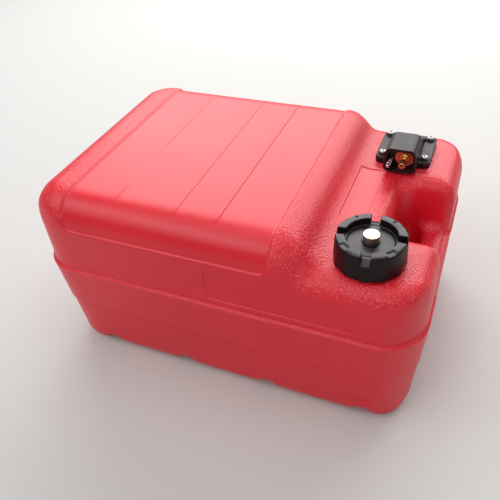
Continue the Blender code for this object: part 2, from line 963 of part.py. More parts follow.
def build_hood():
    """The arched hood over the connector, with its long back sloping down to the plate."""
    corner_x = hood_foot_half_width - hood_foot_radius
    corner_z = plate_bottom + hood_foot_radius
    outline = arc((-corner_x, corner_z), hood_foot_radius, 180, 270, 5)
    outline += arc((corner_x, corner_z), hood_foot_radius, 270, 360, 5)
    outline += [(hood_top_half_width, hood_top), (-hood_top_half_width, hood_top)]
    toe_top = plate_top + plate_edge_radius
    data = bmesh.new()
    rings = []
    for y, top in ((hood_front, hood_top), (hood_back, hood_top), (hood_toe, toe_top)):
        corners = [(x, min(z, top)) for x, z in outline]
        rings.append([data.verts.new((fitting_x + x, y, z)) for x, z in corners])
    for first, second in zip(rings, rings[1:]):
        for corner in range(len(outline)):
            after = (corner + 1) % len(outline)
            data.faces.new((first[corner], first[after], second[after], second[corner]))
    data.faces.new(rings[0])
    data.faces.new(reversed(rings[-1]))
    long_edges = []
    for edge in data.edges:
        run = edge.verts[1].co - edge.verts[0].co
        above = min(vert.co.z for vert in edge.verts) > toe_top - same_place
        if above and abs(run.y) > hood_edge_radius:
            long_edges.append(edge)
    bmesh.ops.bevel(data, geom=long_edges, offset=hood_edge_radius, segments=5, profile=0.5, affect="EDGES")
    return make_object("hood_form", data)


def build_mouth():
    """The space inside the hood where the hose connector pushes in."""
    foot = plate_bottom + mouth_floor
    roof = hood_top - mouth_roof
    outline = [
        (-mouth_half_width, foot),
        (mouth_half_width, foot),
        (mouth_top_half_width, roof),
        (-mouth_top_half_width, roof),
    ]
    mouth = prism(
        "mouth_cut",
        outline,
        lambda across, up, along: (fitting_x + across, along, up),
        hood_front - cut_overrun,
        mouth_face,
    )
    data = bmesh.new()
    data.from_mesh(mouth.data)
    along = [edge for edge in data.edges if abs(edge.verts[1].co.y - edge.verts[0].co.y) > mouth_depth]
    bmesh.ops.bevel(data, geom=along, offset=mouth_corner_radius, segments=4, profile=0.5, affect="EDGES")
    data.to_mesh(mouth.data)
    data.free()
    return mouth


def build_housing():
    housing = prism(
        "fitting_housing",
        rounded_rectangle(plate_length / 2, plate_width / 2, plate_corner_radius),
        lambda across, up, along: (fitting_x + across, fitting_y + up, along),
        plate_bottom,
        plate_top,
        black_nylon,
    )
    bevel(housing, plate_edge_radius)
    boolean(housing, build_hood(), "UNION")
    for number, (x, y) in enumerate(screw_places(), 1):
        boss = cylinder(
            f"screw_boss_{number}",
            screw_boss_radius,
            (x, y, plate_bottom + mouth_floor),
            (x, y, screw_seat),
        )
        boolean(housing, boss, "UNION")
    spigot = turned("spigot_form", [
        (0, mouth_floor),
        (spigot_radius, mouth_floor),
        (spigot_radius, -spigot_length),
        (barb_radius, -spigot_length),
        (barb_radius, -spigot_length - barb_length),
        (0, -spigot_length - barb_length),
    ], steps=24)
    place_at(spigot, (spigot_x, spigot_y, plate_bottom))
    boolean(housing, spigot, "UNION")

    boolean(housing, build_mouth())
    disc_seat = cylinder(
        "disc_seat",
        disc_radius + seat_gap,
        (nipple_x, mouth_face - cut_overrun / 2, disc_height),
        (nipple_x, mouth_face + disc_thickness + seat_gap, disc_height),
        sides=40,
    )
    boolean(housing, disc_seat)
    nipple_bore = cylinder(
        "nipple_bore",
        nipple_thread_radius + seat_gap,
        (nipple_x, mouth_face, disc_height),
        (nipple_x, nipple_root + seat_gap, disc_height),
    )
    boolean(housing, nipple_bore)
    cross_way = cylinder(
        "cross_way",
        fuel_way_radius,
        (nipple_x, nipple_root - seat_gap, disc_height),
        (nipple_x, spigot_y + fuel_way_radius, disc_height),
        sides=16,
    )
    boolean(housing, cross_way)
    down_way = cylinder(
        "down_way",
        fuel_way_radius,
        (spigot_x, spigot_y, disc_height + fuel_way_radius / 2),
        (spigot_x, spigot_y, plate_bottom - spigot_length - barb_length - cut_overrun),
        sides=16,
    )
    boolean(housing, down_way)
    pin_bore = cylinder(
        "pin_bore",
        pin_radius + seat_gap,
        (pin_x, mouth_face - cut_overrun / 2, pin_height),
        (pin_x, pin_root + seat_gap, pin_height),
        sides=24,
    )
    boolean(housing, pin_bore)
    for number, (x, y) in enumerate(screw_places(), 1):
        hole = cylinder(
            f"screw_hole_{number}",
            screw_radius + seat_gap,
            (x, y, plate_bottom - cut_overrun),
            (x, y, screw_seat + cut_overrun),
            sides=24,
        )
        boolean(housing, hole)
        head_room = cylinder(
            f"screw_head_room_{number}",
            screw_head_radius + 2 * seat_gap,
            (x, y, screw_seat),
            (x, y, screw_seat + cut_overrun),
            sides=24,
        )
        boolean(housing, head_room)
    return housing


def build_fitting_gasket():
    gasket = prism(
        "fitting_gasket",
        rounded_rectangle(plate_length / 2, plate_width / 2, plate_corner_radius),
        lambda across, up, along: (fitting_x + across, fitting_y + up, along),
        pad_top + seat_gap,
        pad_top + seat_gap + fitting_gasket_thickness,
        black_rubber,
    )
    holes = [(spigot_x, spigot_y, spigot_radius)] + [(x, y, screw_radius) for x, y in screw_places()]
    for number, (x, y, radius) in enumerate(holes, 1):
        hole = cylinder(
            f"gasket_hole_{number}",
            radius + 2 * seat_gap,
            (x, y, pad_top - cut_overrun),
            (x, y, pad_top + cut_overrun),
            sides=24,
        )
        boolean(gasket, hole)


def build_screws():
    """Four pan-head screws, each in a brass insert moulded into the tank."""
    reach = screw_seat + seat_gap - (pad_top - screw_reach)
    for number, (x, y) in enumerate(screw_places(), 1):
        screw = turned(f"fitting_screw_{number}", [
            (0, -reach),
            (screw_radius - seat_gap, -reach),
            (screw_radius, -reach + seat_gap),
            (screw_radius, 0),
            (screw_head_radius, 0),
            (screw_head_radius, screw_head_height * head_side_share),
            (screw_head_radius * head_bend_share, screw_head_height * head_bend_rise_share),
            (screw_head_radius * head_crown_share, screw_head_height),
            (0, screw_head_height),
        ], bright_steel, steps=24)
        place_at(screw, (x, y, screw_seat + seat_gap))
        for arm, turn in (("a", 0), ("b", math.pi / 2)):
            recess = box(
                f"recess_cut_{number}{arm}",
                (-screw_recess_length / 2, -screw_recess_width / 2, screw_head_height - screw_recess_depth),
                (screw_recess_length / 2, screw_recess_width / 2, screw_head_height + cut_overrun),
            )
            recess.data.transform(Matrix.Rotation(turn + number * math.radians(25), 4, "Z"))
            recess.location = screw.location
            boolean(screw, recess)
        insert = turned(f"screw_insert_{number}", [
            (screw_radius + seat_gap, -insert_length),
            (insert_radius, -insert_length),
            (insert_radius, -insert_length / 2 - insert_groove_width / 2),
            (insert_radius - insert_groove_depth, -insert_length / 2),
            (insert_radius, -insert_length / 2 + insert_groove_width / 2),
            (insert_radius, 0),
            (screw_radius + seat_gap, 0),
        ], brass, steps=16)
        place_at(insert, (x, y, pad_top))


def build_connector():
    """The red disc, the nipple and its check valve, and the guide pin, all pointing to -Y."""
    disc = cylinder(
        "connector_disc",
        disc_radius,
        (nipple_x, mouth_face, disc_height),
        (nipple_x, mouth_face + disc_thickness, disc_height),
        red_nylon,
        sides=40,
    )
    hole = cylinder(
        "disc_hole",
        nipple_thread_radius + seat_gap,
        (nipple_x, mouth_face - cut_overrun, disc_height),
        (nipple_x, mouth_face + cut_overrun, disc_height),
    )
    boolean(disc, hole)

    # Heights of the turned parts are measured from the nipple's root towards its tip
    length = nipple_root - nipple_tip
    collar_back = nipple_root - mouth_face + seat_gap
    collar_front = collar_back + nipple_collar_thickness
    tip_back = length - nipple_tip_length
    groove_back = length - nipple_tip_length / 2
    groove_front = groove_back + nipple_groove_width
    valve_seat = length - nipple_seat_depth
    spring_back = nipple_root - spring_seat
    corner = o_ring_thickness / 2
    nipple = turned("fuel_nipple", [
        (spring_back_radius, 0),
        (nipple_thread_radius, 0),
        (nipple_thread_radius, collar_back),
        (nipple_collar_radius, collar_back),
        (nipple_collar_radius, collar_front - corner),
        (nipple_collar_radius - corner, collar_front),
        (nipple_shaft_radius, collar_front + corner),
        (nipple_shaft_radius, tip_back - corner),
        (nipple_tip_radius, tip_back),
        (nipple_tip_radius, groove_back),
        (nipple_groove_radius, groove_back),
        (nipple_groove_radius, groove_front),
        (nipple_tip_radius, groove_front),
        (nipple_tip_radius, length - corner),
        (nipple_tip_radius - corner, length),
        (nipple_mouth_radius, length),
        (nipple_mouth_radius, valve_seat),
        (nipple_bore_radius, valve_seat - corner),
        (nipple_bore_radius, spring_back),
        (spring_back_radius, spring_back),
    ], brass, steps=24)
    root = (nipple_x, nipple_root, disc_height)
    place_at(nipple, root, (0, -1, 0))

    ring_middle = (groove_back + groove_front) / 2
    ring_inner = nipple_groove_radius + seat_gap / 2
    ring_radius = ring_inner + o_ring_thickness / 2
    ring = turned(
        "nipple_o_ring",
        arc((ring_radius, ring_middle), o_ring_thickness / 2, 0, 300, 5),
        black_rubber,
        steps=24,
    )
    place_at(ring, root, (0, -1, 0))

    head_front = valve_seat - corner - seat_gap
    head_back = head_front - poppet_head_length
    poppet = turned("nipple_poppet", [
        (0, head_back),
        (poppet_head_radius, head_back),
        (poppet_head_radius, head_front - corner),
        (poppet_stem_radius, head_front),
        (poppet_stem_radius, length - poppet_tip_depth),
        (0, length - poppet_tip_depth),
    ], bright_steel, steps=16)
    place_at(poppet, root, (0, -1, 0))

    coil_start = spring_back + seat_gap + spring_wire_radius
    coil_end = head_back - seat_gap - spring_wire_radius
    build_spring(root, coil_start, coil_end)

    pin_length = pin_root - pin_tip
    neck_back = pin_length - 2 * pin_step_length
    neck_front = neck_back + pin_step_length / 3
    nose_back = pin_length - pin_step_length
    pin = turned("guide_pin", [
        (0, 0),
        (pin_radius, 0),
        (pin_radius, neck_back),
        (pin_neck_radius, neck_back),
        (pin_neck_radius, neck_front),
        (pin_radius, neck_front),
        (pin_radius, nose_back),
        (pin_neck_radius, nose_back + corner),
        (pin_neck_radius, pin_length - 2 * corner),
        (pin_nose_radius, pin_length),
        (0, pin_length),
    ], bright_steel, steps=24)
    place_at(pin, (pin_x, pin_root, pin_height), (0, -1, 0))


def build_spring(root, start, end):
    """The check valve's spring, one unbroken wire."""
    curve = bpy.data.curves.new("nipple_spring", "CURVE")
    curve.dimensions = "3D"
    curve.bevel_depth = spring_wire_radius
    curve.bevel_resolution = 1
    curve.use_fill_caps = True
    curve.materials.append(bright_steel)
    per_coil = 10
    count = spring_coils * per_coil
    spline = curve.splines.new("POLY")
    spline.points.add(count)
    for step, point in enumerate(spline.points):
        turn = math.tau * step / per_coil
        height = start + (end - start) * step / count
        point.co = (spring_radius * math.cos(turn), spring_radius * math.sin(turn), height, 1)
    pitch = (end - start) / spring_coils
    print(f"spring: least gap between coils {(pitch - 2 * spring_wire_radius) / mm:.2f} mm")
    spring = bpy.data.objects.new("nipple_spring", curve)
    parts.objects.link(spring)
    place_at(spring, root, (0, -1, 0))


def build_pickup():
    """The suction tube and its strainer, which hang from the spigot inside the tank."""
    tube_bore = barb_radius + seat_gap
    tube_radius = tube_bore + tube_wall
    tube_top = plate_bottom - spigot_length - seat_gap
    tube_bottom = strainer_floor_gap + strainer_length / 2
    tube = turned("pickup_tube", [
        (tube_bore, 0),
        (tube_radius, 0),
        (tube_radius, tube_top - tube_bottom),
        (tube_bore, tube_top - tube_bottom),
    ], white_polyethylene, steps=24)
    place_at(tube, (spigot_x, spigot_y, tube_bottom))

    inner = tube_radius + seat_gap
    outer = inner + strainer_wall
    strainer = turned("pickup_strainer", [
        (0, 0),
        (outer, 0),
        (outer, strainer_length),
        (inner, strainer_length),
        (inner, strainer_length / 2 - seat_gap),
        (tube_bore, strainer_length / 2 - seat_gap),
        (tube_bore, strainer_wall),
        (0, strainer_wall),
    ], white_polyethylene, steps=24)
    place_at(strainer, (spigot_x, spigot_y, strainer_floor_gap))
    for number in range(strainer_window_count):
        turn = math.tau * number / strainer_window_count
        window = box(
            f"window_cut_{number + 1}",
            (tube_bore / 2, -strainer_window_width / 2, strainer_window_foot),
            (outer + cut_overrun, strainer_window_width / 2, strainer_window_foot + strainer_window_height),
        )
        window.data.transform(Matrix.Rotation(turn, 4, "Z"))
        window.location = strainer.location
        boolean(strainer, window)


build_tank()
build_cap()
build_vent()
build_housing()
build_fitting_gasket()
build_screws()
build_connector()
build_pickup()
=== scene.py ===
import math

import bmesh
import bpy
import numpy as np
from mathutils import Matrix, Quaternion, Vector, noise


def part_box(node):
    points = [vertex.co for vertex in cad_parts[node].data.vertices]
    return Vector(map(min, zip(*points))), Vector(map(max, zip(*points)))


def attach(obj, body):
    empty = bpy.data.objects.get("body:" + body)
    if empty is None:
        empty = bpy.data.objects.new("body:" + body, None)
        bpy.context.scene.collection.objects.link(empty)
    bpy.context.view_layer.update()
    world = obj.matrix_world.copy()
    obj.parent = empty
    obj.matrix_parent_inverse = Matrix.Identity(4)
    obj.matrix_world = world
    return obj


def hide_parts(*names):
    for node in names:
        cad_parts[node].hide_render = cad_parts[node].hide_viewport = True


# Outboard fuel tank: the looks of a blow-moulded tank, its screw cap and its fuel fitting.
# Lengths are in metres, and angles in the dictionaries in degrees. X runs to the end with the cap,
# Y from the cap to the fitting, and Z up.
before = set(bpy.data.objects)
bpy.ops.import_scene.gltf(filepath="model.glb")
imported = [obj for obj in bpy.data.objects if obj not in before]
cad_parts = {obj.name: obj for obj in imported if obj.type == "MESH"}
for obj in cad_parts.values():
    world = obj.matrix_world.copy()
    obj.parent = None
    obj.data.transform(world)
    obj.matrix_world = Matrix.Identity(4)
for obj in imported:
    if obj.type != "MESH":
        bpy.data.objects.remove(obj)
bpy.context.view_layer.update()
mm = 0.001
overrun = 20 * mm  # how far a cutting tool stands out of what it cuts
near = 0.01 * mm  # places closer than this are the same
touching = 0.0001 * mm  # the same for a plane that cuts a mesh
gap = 0.3 * mm  # between pieces that sit in each other
sharpAngle = math.radians(38)  # moulded edges from this angle on are shaded sharp
turnedAngle = math.radians(35)  # the same for turned metal
print("frame loaded:", len(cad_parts), "nodes")


# Meshes

def putMesh(name, data, recalculate=True):
    if recalculate:
        bmesh.ops.recalc_face_normals(data, faces=data.faces[:])
    mesh = bpy.data.meshes.new(name)
    data.to_mesh(mesh)
    data.free()
    piece = bpy.data.objects.new(name, mesh)
    bpy.context.scene.collection.objects.link(piece)
    return piece


def openMesh(piece):
    data = bmesh.new()
    data.from_mesh(piece.data)
    return data


# The evaluated piece becomes its plain mesh, without modifiers
def freeze(piece):
    bpy.context.view_layer.update()
    graph = bpy.context.evaluated_depsgraph_get()
    mesh = bpy.data.meshes.new_from_object(piece.evaluated_get(graph), depsgraph=graph)
    old = piece.data
    piece.modifiers.clear()
    piece.data = mesh
    bpy.data.meshes.remove(old)
    return piece


# Cuts the tools out of the piece, joins them to it, or keeps what they share; the tools go
def trim(piece, tools, operation="DIFFERENCE", solver="MANIFOLD"):
    for tool in tools:
        change = piece.modifiers.new("trim", "BOOLEAN")
        change.operation = operation
        change.solver = solver
        change.object = tool
        freeze(piece)
        bpy.data.objects.remove(tool, do_unlink=True)
    return piece


# An even skin of small quads whose edges are eased, as a mould leaves them
def softSkin(piece, voxel, passes):
    skin = piece.modifiers.new("skin", "REMESH")
    skin.mode = "VOXEL"
    skin.voxel_size = voxel
    ease = piece.modifiers.new("ease", "SMOOTH")
    ease.factor = 0.5
    ease.iterations = passes
    return freeze(piece)


def shadeRound(piece, angle=sharpAngle):
    piece.data.shade_smooth()
    piece.data.set_sharp_from_angle(angle=angle)
    return piece


def moveTo(piece, place, towards=(0, 0, 1)):
    turn = Vector((0, 0, 1)).rotation_difference(Vector(towards)).to_matrix().to_4x4()
    turn.translation = Vector(place)
    piece.data.transform(turn)
    return piece


def spin(piece, angle):
    piece.data.transform(Quaternion((0, 0, 1), angle).to_matrix().to_4x4())
    return piece


# The lowest and highest corner of a node's box, and its middle
def nodeBox(node):
    low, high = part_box(node)
    return low, high, (low + high) / 2


# A flat outline swept from start to end; spot turns (across, up, along) into a point
def sweep(name, outline, spot, start, end):
    data = bmesh.new()
    first = [data.verts.new(spot(across, up, start)) for across, up in outline]
    second = [data.verts.new(spot(across, up, end)) for across, up in outline]
    data.faces.new(first)
    data.faces.new(second)
    for one in range(len(outline)):
        two = (one + 1) % len(outline)
        data.faces.new((first[one], first[two], second[two], second[one]))
    return putMesh(name, data)


# Places an outline of X and Z along Y
def sideways(x, z, y):
    return (x, y, z)


# Places an outline of X and Y along Z
def upwards(x, y, z):
    return (x, y, z)


def block(name, low, high):
    corners = [(low[0], low[1]), (high[0], low[1]), (high[0], high[1]), (low[0], high[1])]
    return sweep(name, corners, upwards, low[2], high[2])


def arcPoints(centre, radius, start, end, steps):
    turns = [math.radians(start + (end - start) * step / steps) for step in range(steps + 1)]
    return [(centre[0] + radius * math.cos(turn), centre[1] + radius * math.sin(turn)) for turn in turns]


def roundCorners(halfX, halfY, radius, steps=8):
    x, y = halfX - radius, halfY - radius
    return (arcPoints((x, y), radius, 0, 90, steps) + arcPoints((-x, y), radius, 90, 180, steps)
            + arcPoints((-x, -y), radius, 180, 270, steps) + arcPoints((x, -y), radius, 270, 360, steps))


# (radius, height) points turned about Z: a closed ring unless both ends meet the axis
def lathe(name, profile, steps=96):
    data = bmesh.new()
    rings = []
    for radius, height in profile:
        if radius == 0:
            rings.append([data.verts.new((0, 0, height))])
            continue
        turns = [math.tau * step / steps for step in range(steps)]
        rings.append([data.verts.new((radius * math.cos(t), radius * math.sin(t), height)) for t in turns])
    pairs = list(zip(rings, rings[1:]))
    if profile[0][0] > 0 or profile[-1][0] > 0:
        pairs.append((rings[-1], rings[0]))
    for lower, upper in pairs:
        for step in range(steps):
            after = (step + 1) % steps
            corners = [lower[step % len(lower)], lower[after % len(lower)]]
            corners += [upper[after % len(upper)], upper[step % len(upper)]]
            data.faces.new(list(dict.fromkeys(corners)))
    return putMesh(name, data)


# A plain rod about Z
def rodBetween(name, radius, bottom, top, steps=96):
    return lathe(name, [(0, bottom), (radius, bottom), (radius, top), (0, top)], steps)


# Rounds the corners of a (radius, height) profile, each by its own small radius
def easeProfile(points, radii, steps=4):
    mostShare = 0.45  # of the shorter side beside a corner
    eased = []
    for number, (point, radius) in enumerate(zip(points, radii)):
        if radius == 0:
            eased.append(point)
            continue
        here = Vector(point)
        before = Vector(points[number - 1]) - here
        after = Vector(points[(number + 1) % len(points)]) - here
        reach = min(radius, before.length * mostShare, after.length * mostShare)
        start, end = here + before.normalized() * reach, here + after.normalized() * reach
        for step in range(steps + 1):
            share = step / steps
            spot = start.lerp(here, share).lerp(here.lerp(end, share), share)
            eased.append((spot.x, spot.y))
    return eased


# Materials

def linearColour(code):
    values = [int(code[place:place + 2], 16) / 255 for place in (1, 3, 5)]
    return [v / 12.92 if v <= 0.04045 else ((v + 0.055) / 1.055) ** 2.4 for v in values] + [1.0]


def addNode(tree, kind, settings=None, inputs=None):
    node = tree.nodes.new(kind)
    for name, value in (settings or {}).items():
        setattr(node, name, value)
    for socket, value in (inputs or {}).items():
        if isinstance(value, bpy.types.NodeSocket):
            tree.links.new(value, node.inputs[socket])
        else:
            node.inputs[socket].default_value = value
    return node


def newMaterial(name):
    material = bpy.data.materials.new(name)
    material.use_nodes = True
    tree = material.node_tree
    tree.nodes.clear()
    shader = addNode(tree, "ShaderNodeBsdfPrincipled")
    out = addNode(tree, "ShaderNodeOutputMaterial", inputs={"Surface": shader.outputs["BSDF"]})
    out.location = (300, 0)
    place = addNode(tree, "ShaderNodeTexCoord").outputs["Object"]
    return material, tree, shader, place


def dress(piece, *materials):
    piece.data.materials.clear()
    for material in materials:
        piece.data.materials.append(material)


# The first material on what looks up or down, the second on faces whose normals rise less than flattest
def dressTopAndSide(piece, top, side, flattest):
    dress(piece, top, side)
    for face in piece.data.polygons:
        face.material_index = int(abs(face.normal.z) < flattest)


# The grain is drawn a little coarser than the real one, so that it shows at this picture's size
redMould = {
    "deep": "#D00F25", "light": "#E2192D", "cloudWidth": 90 * mm,
    # tip is the colour of the painted highlight specks; tipShare, tipFoot, tipTop and tipPower set how strong
    # they are and how they follow the grain
    "tip": "#F98088", "tipShare": 0.45, "tipFoot": 0.45, "tipTop": 0.1, "tipPower": 2.2,
    "grainWidth": 2.4 * mm, "grainHeight": 0.4 * mm, "bendWidth": 4.8 * mm, "bendShare": 0.4,
    "pebbleWidth": 1.2 * mm, "pebbleShare": 0.25,
    "roughness": 0.36, "grainRoughness": 0.34, "cloudRoughness": 0.08, "shine": 0.46, "ior": 1.54,
}


# High-density polyethylene, blow-moulded: waxy and half-gloss, with the leather grain of an etched
# mould. Each grain is a small dome with a paler painted highlight speck on its tip. The attribute "grain"
# says how much of it a place has
def mouldedPolyethylene():
    look = redMould
    material, tree, shader, place = newMaterial("mouldedPolyethylene")
    grainArea = addNode(tree, "ShaderNodeAttribute", {"attribute_name": "grain"}).outputs["Fac"]
    cloud = addNode(tree, "ShaderNodeTexNoise", inputs={
        "Vector": place, "Scale": 1 / look["cloudWidth"], "Detail": 3.0, "Roughness": 0.5})
    colour = addNode(tree, "ShaderNodeMix", {"data_type": "RGBA"}, {
        "Factor": cloud.outputs["Fac"], "A": linearColour(look["deep"]), "B": linearColour(look["light"])})

    # round cells on a slightly bent grid, with finer pebbles on them
    wander = addNode(tree, "ShaderNodeTexNoise", inputs={
        "Vector": place, "Scale": 1 / look["bendWidth"], "Detail": 1.0})
    bend = addNode(tree, "ShaderNodeVectorMath", {"operation": "SCALE"}, {
        0: wander.outputs["Color"], "Scale": look["bendShare"] * look["grainWidth"]})
    bent = addNode(tree, "ShaderNodeVectorMath", {"operation": "ADD"}, {
        0: place, 1: bend.outputs["Vector"]})
    cells = addNode(tree, "ShaderNodeTexVoronoi", {"feature": "F1"}, {
        "Vector": bent.outputs["Vector"], "Scale": 1 / look["grainWidth"]})
    pebbleNoise = addNode(tree, "ShaderNodeTexNoise", inputs={
        "Vector": place, "Scale": 1 / look["pebbleWidth"], "Detail": 2.0})
    pebbles = addNode(tree, "ShaderNodeMath", {"operation": "MULTIPLY"}, {
        0: pebbleNoise.outputs["Fac"], 1: look["pebbleShare"]})
    height = addNode(tree, "ShaderNodeMath", {"operation": "MULTIPLY_ADD"}, {
        0: cells.outputs["Distance"], 1: -1.0, 2: pebbles.outputs["Value"]})
    bump = addNode(tree, "ShaderNodeBump", inputs={
        "Strength": grainArea, "Distance": look["grainHeight"], "Height": height.outputs["Value"]})
    tree.links.new(bump.outputs["Normal"], shader.inputs["Normal"])

    # painted highlight specks on the grain's tips, strongest where the grain is deep, which is mostly on
    # faces that look up
    highlightSpecks = addNode(tree, "ShaderNodeMapRange", inputs={
        "Value": cells.outputs["Distance"], "From Min": look["tipFoot"], "From Max": look["tipTop"],
        "To Max": look["tipShare"]})
    deepGrain = addNode(tree, "ShaderNodeMath", {"operation": "POWER"}, {0: grainArea, 1: look["tipPower"]})
    paintedSpeckHighlight = addNode(tree, "ShaderNodeMath", {"operation": "MULTIPLY"}, {
        0: highlightSpecks.outputs["Result"], 1: deepGrain.outputs["Value"]})
    paintedLightLook = addNode(tree, "ShaderNodeMix", {"data_type": "RGBA"}, {
        "Factor": paintedSpeckHighlight.outputs["Value"], "A": colour.outputs["Result"], "B": linearColour(look["tip"])})
    tree.links.new(paintedLightLook.outputs["Result"], shader.inputs["Base Color"])

    gloss = addNode(tree, "ShaderNodeMapRange", inputs={
        "Value": grainArea, "To Min": look["roughness"], "To Max": look["grainRoughness"]})
    patchy = addNode(tree, "ShaderNodeMath", {"operation": "MULTIPLY_ADD"}, {
        0: cloud.outputs["Fac"], 1: look["cloudRoughness"], 2: gloss.outputs["Result"]})
    tree.links.new(patchy.outputs["Value"], shader.inputs["Roughness"])
    shader.inputs["IOR"].default_value = look["ior"]
    shader.inputs["Specular IOR Level"].default_value = look["shine"]
    return material


satinMould = {
    "textureWidth": 0.5 * mm, "textureHeight": 0.02 * mm, "textureStrength": 0.8,
    "hazeWidth": 12 * mm, "darkest": 0.9, "lightest": 1.12, "roughnessSpread": 0.05, "ior": 1.53,
}


# Nylon, acetal, soft polyethylene or rubber out of a fine-blasted mould: one even colour, a satin
# sheen with a little haze, and a texture that is only felt
def mouldedPlastic(name, colour, roughness, shine=0.5):
    look = satinMould
    material, tree, shader, place = newMaterial(name)
    haze = addNode(tree, "ShaderNodeTexNoise", inputs={
        "Vector": place, "Scale": 1 / look["hazeWidth"], "Detail": 2.0})
    value = addNode(tree, "ShaderNodeMapRange", inputs={
        "Value": haze.outputs["Fac"], "To Min": look["darkest"], "To Max": look["lightest"]})
    tone = addNode(tree, "ShaderNodeHueSaturation", inputs={
        "Color": linearColour(colour), "Value": value.outputs["Result"]})
    tree.links.new(tone.outputs["Color"], shader.inputs["Base Color"])
    gloss = addNode(tree, "ShaderNodeMapRange", inputs={
        "Value": haze.outputs["Fac"], "To Min": roughness - look["roughnessSpread"],
        "To Max": roughness + look["roughnessSpread"]})
    tree.links.new(gloss.outputs["Result"], shader.inputs["Roughness"])
    speckle = addNode(tree, "ShaderNodeTexNoise", inputs={
        "Vector": place, "Scale": 1 / look["textureWidth"], "Detail": 3.0})
    bump = addNode(tree, "ShaderNodeBump", inputs={
        "Strength": look["textureStrength"], "Distance": look["textureHeight"],
        "Height": speckle.outputs["Fac"]})
    tree.links.new(bump.outputs["Normal"], shader.inputs["Normal"])
    shader.inputs["IOR"].default_value = look["ior"]
    shader.inputs["Specular IOR Level"].default_value = shine
    return material


# The rings that a tool leaves are finer than this. They are drawn wider, so that a close view shows them
latheMarks = {
    "ringPitch": 0.35 * mm, "ringHeight": 0.006 * mm, "ringStrength": 0.6, "ringBend": 0.4,
    "tarnishWidth": 3 * mm, "darkest": 0.82, "lightest": 1.1, "smoother": 0.06, "rougher": 0.08,
}


# Metal turned on a lathe: bright, with fine rings round the axis that runs through centre
def turnedMetal(name, colour, roughness, centre, alongY=False, ringHeight=latheMarks["ringHeight"]):
    look = latheMarks
    material, tree, shader, place = newMaterial(name)
    moved = addNode(tree, "ShaderNodeMapping", inputs={
        "Vector": place, "Location": [-value for value in centre],
        "Rotation": (math.pi / 2 if alongY else 0, 0, 0)})
    # a wave texture has a ring every 0.3 / Scale
    rings = addNode(tree, "ShaderNodeTexWave", {"wave_type": "RINGS", "rings_direction": "Z"}, {
        "Vector": moved.outputs["Vector"], "Scale": 0.3 / look["ringPitch"],
        "Distortion": look["ringBend"], "Detail": 1.0})
    bump = addNode(tree, "ShaderNodeBump", inputs={
        "Strength": look["ringStrength"], "Distance": ringHeight, "Height": rings.outputs["Fac"]})
    tree.links.new(bump.outputs["Normal"], shader.inputs["Normal"])
    tarnish = addNode(tree, "ShaderNodeTexNoise", inputs={
        "Vector": place, "Scale": 1 / look["tarnishWidth"], "Detail": 3.0})
    value = addNode(tree, "ShaderNodeMapRange", inputs={
        "Value": tarnish.outputs["Fac"], "To Min": look["darkest"], "To Max": look["lightest"]})
    tone = addNode(tree, "ShaderNodeHueSaturation", inputs={
        "Color": linearColour(colour), "Value": value.outputs["Result"]})
    tree.links.new(tone.outputs["Color"], shader.inputs["Base Color"])
    gloss = addNode(tree, "ShaderNodeMapRange", inputs={
        "Value": tarnish.outputs["Fac"], "To Min": roughness - look["smoother"],
        "To Max": roughness + look["rougher"]})
    tree.links.new(gloss.outputs["Result"], shader.inputs["Roughness"])
    shader.inputs["Metallic"].default_value = 1.0
    return material


# Tank

tankForm = {
    "cornerRadius": 52 * mm, "topEdgeRadius": 38 * mm, "deckEdgeRadius": 24 * mm, "baseEdgeRadius": 20 * mm,
    "topRise": 33 * mm, "slopeFoot": 124 * mm, "slopeRun": 28 * mm,
    "slopeTopRadius": 40 * mm, "slopeFootRadius": 30 * mm, "wall": 4 * mm, "portRadius": 10.6 * mm,
    "groovePlaces": (-179.5 * mm, -56.5 * mm, 66.5 * mm, 197 * mm),
    "grooveRadius": 11 * mm, "grooveLift": 7 * mm, "grooveSteps": 24,
    "voxel": 3.9 * mm, "easePasses": 7, "edgeSteps": 8,
    "insideVoxel": 8 * mm, "insideEasePasses": 3, "insideEdgeSteps": 3,
    "waviness": 0.22 * mm, "waveWidth": 75 * mm,
}
pocketForm = {
    "rear": 183 * mm, "near": -66 * mm, "far": 44 * mm, "floor": 78 * mm,
    "barRear": 214 * mm, "barBottom": 117 * mm, "barTop": 155 * mm,
    "rimRadius": 17 * mm, "cornerRadius": 24 * mm, "mouthRadius": 8 * mm, "floorRadius": 12 * mm,
    "barRadius": 16 * mm, "barEndRadius": 11 * mm,
}
halfLength, halfWidth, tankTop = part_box("tank_body")[1]
deck = tankTop - tankForm["topRise"]
slopeTop = tankForm["slopeFoot"] - tankForm["slopeRun"]


# The tank from the side, drawn in by inset: floor, end, deck, slope and top
def tankSide(inset):
    lean = inset * math.tan(math.atan2(tankForm["topRise"], tankForm["slopeRun"]) / 2)
    return [
        (inset - halfLength, inset), (halfLength - inset, inset), (halfLength - inset, deck - inset),
        (tankForm["slopeFoot"] - lean, deck - inset), (slopeTop - lean, tankTop - inset),
        (inset - halfLength, tankTop - inset),
    ]


# Down behind the carrying bar and out under it
def pocketSide(inset):
    form, front, above = pocketForm, halfLength + overrun, tankTop + overrun
    return [
        (form["rear"] - inset, form["floor"] - inset), (front, form["floor"] - inset),
        (front, form["barBottom"] + inset), (form["barRear"] + inset, form["barBottom"] + inset),
        (form["barRear"] + inset, form["barTop"] - inset), (front, form["barTop"] - inset),
        (front, above), (form["rear"] - inset, above),
    ]


# The radius of one edge of the pocket or the bar, from its middle and the axis it runs along
def pocketEdge(middle, along, inset):
    form = pocketForm
    atBar = middle.x > form["barRear"] - near and middle.z > form["barBottom"] - near
    if middle.z > deck - inset - near:
        return form["rimRadius"]
    if along == "z":
        if middle.x > halfLength - inset - near:
            return form["mouthRadius"]
        return form["barEndRadius"] if middle.x > form["barRear"] - near else form["cornerRadius"]
    if along == "x":
        return form["barEndRadius"] if atBar else form["floorRadius"]
    return form["barRadius"] if atBar else form["floorRadius"]


